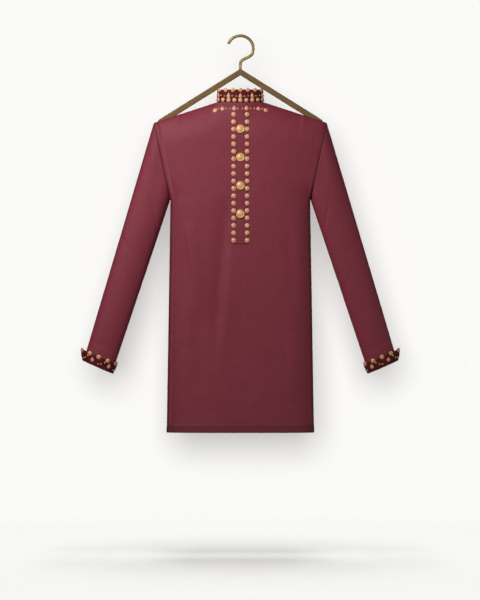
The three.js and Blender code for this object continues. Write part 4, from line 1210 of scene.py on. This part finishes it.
# ------------------------------------------------------------------ hanger
def make_hook():
    """One bent wire: the shank out of the bar, a double bend and the open hook."""
    centre_z = -(HOOK_RADIUS - WIRE / 2)

    def on_arc(degrees):
        turn = np.radians(degrees)
        return np.stack([HOOK_RADIUS * np.cos(turn), centre_z + HOOK_RADIUS * np.sin(turn)], axis=-1)

    start = on_arc(HOOK_BEND_START)
    arrival = unit(start - on_arc(HOOK_BEND_START - 1))
    foot = np.array([0, SHANK_TOP])
    handles = [foot, foot + [0, BEND_REACH], start - arrival * BEND_REACH, start]
    t = np.linspace(0, 1, 28)[:, None]
    weights = [(1 - t) ** 3, 3 * t * (1 - t) ** 2, 3 * t * t * (1 - t), t**3]
    bend = sum(weight * handle for weight, handle in zip(weights, handles))
    shank = np.column_stack([np.zeros(8), np.linspace(SHANK_FOOT, SHANK_TOP, 8)])
    arc = on_arc(np.linspace(HOOK_BEND_START, HOOK_FREE_END, 72))
    path = np.concatenate([shank, bend[1:-1], arc])
    ahead = unit(np.gradient(path, axis=0))
    side = np.stack([ahead[:, 1], -ahead[:, 0]], axis=-1)
    rounding = np.radians([20, 40, 65, 90])
    tip = path[-1] + ahead[-1] * WIRE_ROUNDING * (np.sin(rounding)[:, None] - 1)
    radii = np.full(len(path) - 1, WIRE / 2)
    radii = np.concatenate([radii, WIRE / 2 - WIRE_ROUNDING * (1 - np.cos(rounding))])
    path = np.concatenate([path[:-1], tip])
    side = np.concatenate([side[:-1], np.repeat(side[-1:], len(rounding), axis=0)])
    turn = 2 * np.pi * np.arange(24) / 24
    flat = side[:, None] * np.cos(turn)[None, :, None] * radii[:, None, None] + path[:, None]
    grid = np.stack([flat[..., 0], np.sin(turn)[None] * radii[:, None], flat[..., 1]], axis=-1)
    rows, cols = grid.shape[:2]
    faces = [
        (r * cols + c, r * cols + (c + 1) % cols, (r + 1) * cols + (c + 1) % cols, (r + 1) * cols + c)
        for r in range(rows - 1)
        for c in range(cols)
    ]
    faces += [tuple(range(cols))[::-1], tuple(range((rows - 1) * cols, rows * cols))]
    return solid("hook", grid.reshape(-1, 3), faces, BRASS)


def solid(name, vertices, faces, material):
    """A closed smooth mesh whose faces are turned outwards."""
    mesh = bpy.data.meshes.new(name)
    mesh.from_pydata(np.asarray(vertices).tolist(), [], [tuple(face) for face in faces])
    made = bmesh.new()
    made.from_mesh(mesh)
    bmesh.ops.recalc_face_normals(made, faces=made.faces)
    made.to_mesh(mesh)
    made.free()
    mesh.shade_smooth()
    mesh.materials.append(material)
    return link(name, mesh)


def arc_points(centre, radius, start, end, count):
    turn = np.linspace(start, end, count)
    return np.array(centre) + radius * np.stack([np.cos(turn), np.sin(turn)], axis=-1)


def make_bar():
    """The flat bar: its chevron outline, rounded over at every edge."""
    rise = BAR_WIDTH / 2 / math.cos(BAR_SLOPE)
    up = math.pi / 2 - BAR_SLOPE
    right = arc_points(BAR_TIP, BAR_WIDTH / 2, up - math.pi, up, 17)
    peak_centre = [0, BAR_APEX + rise - BAR_PEAK_RADIUS / math.sin(up)]
    peak = arc_points(peak_centre, BAR_PEAK_RADIUS, up, math.pi - up, 9)
    left = right[::-1] * [-1, 1]
    outline = np.concatenate([right, peak, left, [[0, BAR_APEX - rise]]])
    before, after = outline - np.roll(outline, 1, axis=0), np.roll(outline, -1, axis=0) - outline
    normals = [unit(np.stack([edge[:, 1], -edge[:, 0]], axis=-1)) for edge in (before, after)]
    mitre = unit(normals[0] + normals[1])
    mitre = mitre / np.sum(mitre * normals[0], axis=-1, keepdims=True)
    angles = np.radians([0, 22, 45, 67, 90])
    half = BAR_THICKNESS / 2
    profile = [(BAR_EDGE * (1 - math.cos(a)), half - BAR_EDGE + BAR_EDGE * math.sin(a)) for a in angles]
    profile = [(inset, -y) for inset, y in profile[::-1]] + profile
    rings = []
    for inset, y in profile:
        ring = outline - mitre * inset
        rings.append(np.column_stack([ring[:, 0], np.full(len(ring), y), ring[:, 1]]))
    count = len(outline)
    nxt = (np.arange(count) + 1) % count
    faces = []
    for k in range(len(rings) - 1):
        low, high = k * count, (k + 1) * count
        faces += [(low + i, low + j, high + j, high + i) for i, j in enumerate(nxt)]
    faces += [tuple(range(count)), tuple(range((len(rings) - 1) * count, len(rings) * count))[::-1]]
    piece = solid("bar", np.concatenate(rings), faces, WOOD)
    for polygon in piece.data.polygons:
        polygon.use_smooth = len(polygon.vertices) == 4
    return piece


# ------------------------------------------------------------------ the kurta, piece by piece
def declare(piece, nodes):
    """Says what a piece belongs to, and hides the imported parts that it stands for."""
    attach(piece, "root")
    if nodes:
        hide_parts(*nodes)


def hem_stitches(name, panel):
    x = np.linspace(-HEM_SEWN, HEM_SEWN, 220)
    return make_stitches(name, [line_on(panel.on_cloth, x, HEM_LINE - SEWN_FROM_HEM_LINE, STITCH_LIFT)])


def armhole_stitches(name, panel):
    share = np.linspace(0.03, 0.985, 90)
    inset = ARMHOLE_OUT * SEWN_FROM_ARMHOLE
    lines = []
    for side in (-1, 1):
        x = side * (lerp(TIP_X, UNDERARM_X, share) - inset[0])
        z = lerp(TIP_Z, UNDERARM_Z, share) - inset[2]
        lines.append(line_on(panel.on_cloth, x, z, STITCH_LIFT))
    return make_stitches(name, lines)


def placket_stitches():
    """Down both sides of the placket and across its foot."""
    side = PLACKET_HALF_WIDTH - SEWN_FROM_PLACKET_EDGE
    foot = PLACKET_BOTTOM + SEWN_FROM_PLACKET_EDGE
    down, across = np.linspace(PLACKET_SEWN_FROM, foot, 90), np.linspace(-side, side, 12)
    runs = [(-side, down), (side, down), (across, foot)]
    return make_stitches("placket_stitches", [line_on(on_placket, x, z, 2 * STITCH_LIFT) for x, z in runs])


front, front_cut = make_panel("front_cloth", FRONT)
back, back_cut = make_panel("back_cloth", BACK)
front_sewing = [hem_stitches("front_hem_stitches", FRONT), armhole_stitches("front_armhole_stitches", FRONT)]
trims = {
    "front": [*front_sewing, yoke_beads()],
    "back": [hem_stitches("back_hem_stitches", BACK), armhole_stitches("back_armhole_stitches", BACK)],
}
for piece in front_sewing + trims["back"]:
    declare(piece, ())
declare(trims["front"][2], ())
declare(front, ["front"])
declare(back, ["back"])

collar, collar_cut = make_collar()
collar_trim = collar_beads()
declare(collar_trim, ())
declare(collar, ["collar"])

placket, placket_cut = make_placket()
placket_trim = placket_beads()
declare(placket_trim, ())
placket_sewing = placket_stitches()
declare(placket_sewing, ())
declare(placket, ["placket"])

for number in range(1, BUTTONS["count"] + 1):
    declare(make_button(number), [f"button_{number}"])

for side, mirror, seed in (("right", False, 61), ("left", True, 71)):
    for half, facing, body in (("front", -1, front), ("back", 1, back)):
        outer, inner, seam = sleeve_grids(facing, seed + facing)
        if mirror:
            outer, inner, seam = mirrored(outer), mirrored(inner), seam[:, ::-1]
        name = f"sleeve_{half}_cloth_{side}"
        cloth = wall(name, outer, inner, BODY_CLOTH, rolls=(0, 0.4), masks={"seam": seam})
        declare(cloth, [f"sleeve_{side}_{half}"])
    outer, inner, seam = cuff_grids(seed + 5)
    round_cuff = np.linspace(0, CUFF_ROUND * 0.9999, 160)
    line = line_on(on_cuff, round_cuff, CUFF_HEIGHT * CUFF_SEWN, 3 * STITCH_LIFT)
    if mirror:
        outer, inner, seam = mirrored(outer), mirrored(inner), seam[:, ::-1]
        line = [part * [-1, 1, 1] for part in line]
    cuff = wall(f"cuff_cloth_{side}", outer, inner, TRIM_CLOTH, wrapped=True, masks={"seam": seam})
    beads = cuff_beads(f"cuff_beads_{side}", mirror)
    sewing = make_stitches(f"cuff_stitches_{side}", [line])
    declare(beads, ())
    declare(sewing, ())
    declare(cuff, [f"cuff_{side}"])

declare(make_bar(), ["hanger_bar"])
declare(make_hook(), ["hanger_hook"])

for shape in (*BEAD_SHAPES.values(), STITCH):
    bpy.data.objects.remove(shape)


# ------------------------------------------------------------------ studio
def stage_sheet(name, vertices, faces, colour):
    """A matt sheet of the studio, with its material's tree and the socket for its alpha."""
    mesh = bpy.data.meshes.new(name)
    mesh.from_pydata(vertices, [], faces)
    made, tree, shader = new_material(name)
    shader.inputs["Base Color"].default_value = colour
    shader.inputs["Roughness"].default_value = 1.0
    shader.inputs["Specular IOR Level"].default_value = 0.0
    mesh.materials.append(made)
    sheet = link(name, mesh)
    sheet.visible_diffuse = False
    return sheet, tree, shader.inputs["Alpha"]


def make_floor():
    """A pale floor that fades into the background away from the kurta."""
    rings, sides = 24, 64
    vertices = [(0, 0, FLOOR_Z)]
    for k in range(1, rings + 1):
        rim = round_outline(sides, FLOOR_RADIUS * k / rings)
        vertices += [(x, y, FLOOR_Z) for x, y in rim.tolist()]
    faces = [(0, 1 + i, 1 + (i + 1) % sides) for i in range(sides)]
    for k in range(rings - 1):
        low, high = 1 + k * sides, 1 + (k + 1) * sides
        faces += [(low + i, high + i, high + (i + 1) % sides, low + (i + 1) % sides) for i in range(sides)]
    floor, tree, alpha = stage_sheet("floor", vertices, faces, FLOOR_COLOUR)
    flat = {0: object_place(tree), 1: (1, 1, 0)}
    flat = add_node(tree, "ShaderNodeVectorMath", flat, operation="MULTIPLY").outputs[0]
    distance = add_node(tree, "ShaderNodeVectorMath", {0: flat}, operation="LENGTH").outputs["Value"]
    tree.links.new(spread(tree, distance, *FLOOR_FADE, FLOOR_SHARE, 0.0), alpha)
    return floor


def make_backdrop():
    """A sheet behind the kurta, as bright as the background, that takes its soft shadow. It fades out at
    its edges and towards the side, and isn't seen from behind."""
    x, low, high = BACKDROP_SPAN
    corners = [(a, BACKDROP_Y, b) for a, b in ((-x, low), (x, low), (x, high), (-x, high))]
    backdrop, tree, alpha = stage_sheet("backdrop", corners, [(0, 1, 2, 3)], BACKDROP_COLOUR)
    backdrop.visible_shadow = backdrop.visible_glossy = False
    place = parts_of(tree, object_place(tree))
    slanted = add_node(tree, "ShaderNodeLayerWeight").outputs["Facing"]
    behind = add_node(tree, "ShaderNodeNewGeometry").outputs["Backfacing"]
    masks = [
        spread(tree, math_node(tree, "ABSOLUTE", place[0]), x - BACKDROP_FADE, x, 1.0, 0.0),
        spread(tree, place[2], low, low + BACKDROP_FADE),
        spread(tree, place[2], high - BACKDROP_FADE, high, 1.0, 0.0),
        spread(tree, slanted, *BACKDROP_TURN, 1.0, 0.0),
        math_node(tree, "SUBTRACT", 1.0, behind),
    ]
    share = BACKDROP_SHARE
    for mask in masks:
        share = math_node(tree, "MULTIPLY", share, mask)
    tree.links.new(share, alpha)
    return backdrop


def area_light(name, location, target, size, power, colour=(1, 1, 1), length=None, only=None):
    """A soft lamp, round or as long as given. only names the pieces that it lights."""
    light = bpy.data.lights.new(name, "AREA")
    light.shape, light.size, light.energy, light.color = "DISK", size, power, colour
    if length:
        light.shape, light.size_y = "RECTANGLE", length
    lamp = bpy.data.objects.new(name, light)
    lamp.location = location
    lamp.rotation_euler = (Vector(target) - Vector(location)).to_track_quat("-Z", "Y").to_euler()
    lamp.visible_camera = False
    lamp.light_linking.receiver_collection = only
    bpy.context.scene.collection.objects.link(lamp)


def wide_light(name, towards, angle, power, only):
    """An even light from one direction, as soft as its angle."""
    light = bpy.data.lights.new(name, "SUN")
    light.angle, light.energy = math.radians(angle), power
    lamp = bpy.data.objects.new(name, light)
    lamp.rotation_euler = Vector(towards).to_track_quat("-Z", "Y").to_euler()
    lamp.light_linking.receiver_collection = only
    bpy.context.scene.collection.objects.link(lamp)


def make_world(seen, lit):
    """A near-white background, dimmer as a light than as a backdrop."""
    world = bpy.data.worlds.new("studio")
    world.use_nodes = True
    tree = world.node_tree
    backdrop = tree.nodes["Background"]
    backdrop.inputs["Color"].default_value = BACKDROP_COLOUR
    camera_ray = add_node(tree, "ShaderNodeLightPath").outputs["Is Camera Ray"]
    tree.links.new(spread(tree, camera_ray, 0, 1, lit, seen), backdrop.inputs["Strength"])
    bpy.context.scene.world = world


def collection_of(name, objects):
    made = bpy.data.collections.new(name)
    for one in objects:
        made.objects.link(one)
    return made


FLOOR_COLOUR = srgb(244, 244, 242)
FLOOR_RADIUS, FLOOR_FADE, FLOOR_SHARE = 4.0, (0.5, 1.9), 0.82
BACKDROP_COLOUR = srgb(250, 250, 248)
BACKDROP_Y, BACKDROP_SPAN = 0.20, (0.66, -1.37, 0.16)  # half width, foot and head
BACKDROP_FADE, BACKDROP_TURN, BACKDROP_SHARE = 0.09, (0.15, 0.65), 0.53
garment = collection_of("garment", [one for one in bpy.context.scene.objects if one.type == "MESH"])
ground = collection_of("ground", [make_floor()])
behind = collection_of("behind", [make_backdrop()])
make_world(seen=1.0, lit=0.07)
area_light("key", (-0.95, -1.4, 0.55), (-0.02, 0, -0.55), 0.6, 30.5, (1.0, 0.985, 0.96), only=garment)
area_light("fill", (0.9, -2.8, -0.4), (0.0, 0, -0.75), 1.2, 7.0, only=garment)
area_light("edge", (2.4, -0.3, -0.5), (0.05, 0, -0.7), 0.8, 5.0, only=garment)
area_light("back", (0.9, 1.9, 0.1), (0.0, 0, -0.6), 0.9, 24, only=garment)
area_light("top", (0.0, 0.2, 3.0), (0.0, 0.0, -1.4), 1.5, 245, length=5.5, only=ground)
wide_light("soft_front", (0.065, 1.0, -0.195), 37, 2.99, only=behind)

CAMERA_DISTANCE = 10.0
FRAME_HEIGHT = 1.68  # what the frame's 600 rows cover at the kurta
FRAME_CENTRE = (-0.001, -0.7363)
FACE_DEPTH = 0.01  # a little in front of the outline, towards the face of the cloth
SENSOR = 36.0
camera = bpy.data.cameras.new("camera")
camera.sensor_width = SENSOR
camera.lens = SENSOR * (CAMERA_DISTANCE - FACE_DEPTH) / FRAME_HEIGHT
viewer = bpy.data.objects.new("camera", camera)
viewer.location = (FRAME_CENTRE[0], -CAMERA_DISTANCE, FRAME_CENTRE[1])
viewer.rotation_euler = (math.pi / 2, 0, 0)
bpy.context.scene.collection.objects.link(viewer)
bpy.context.scene.camera = viewer
bpy.context.scene.view_settings.view_transform = "Standard"
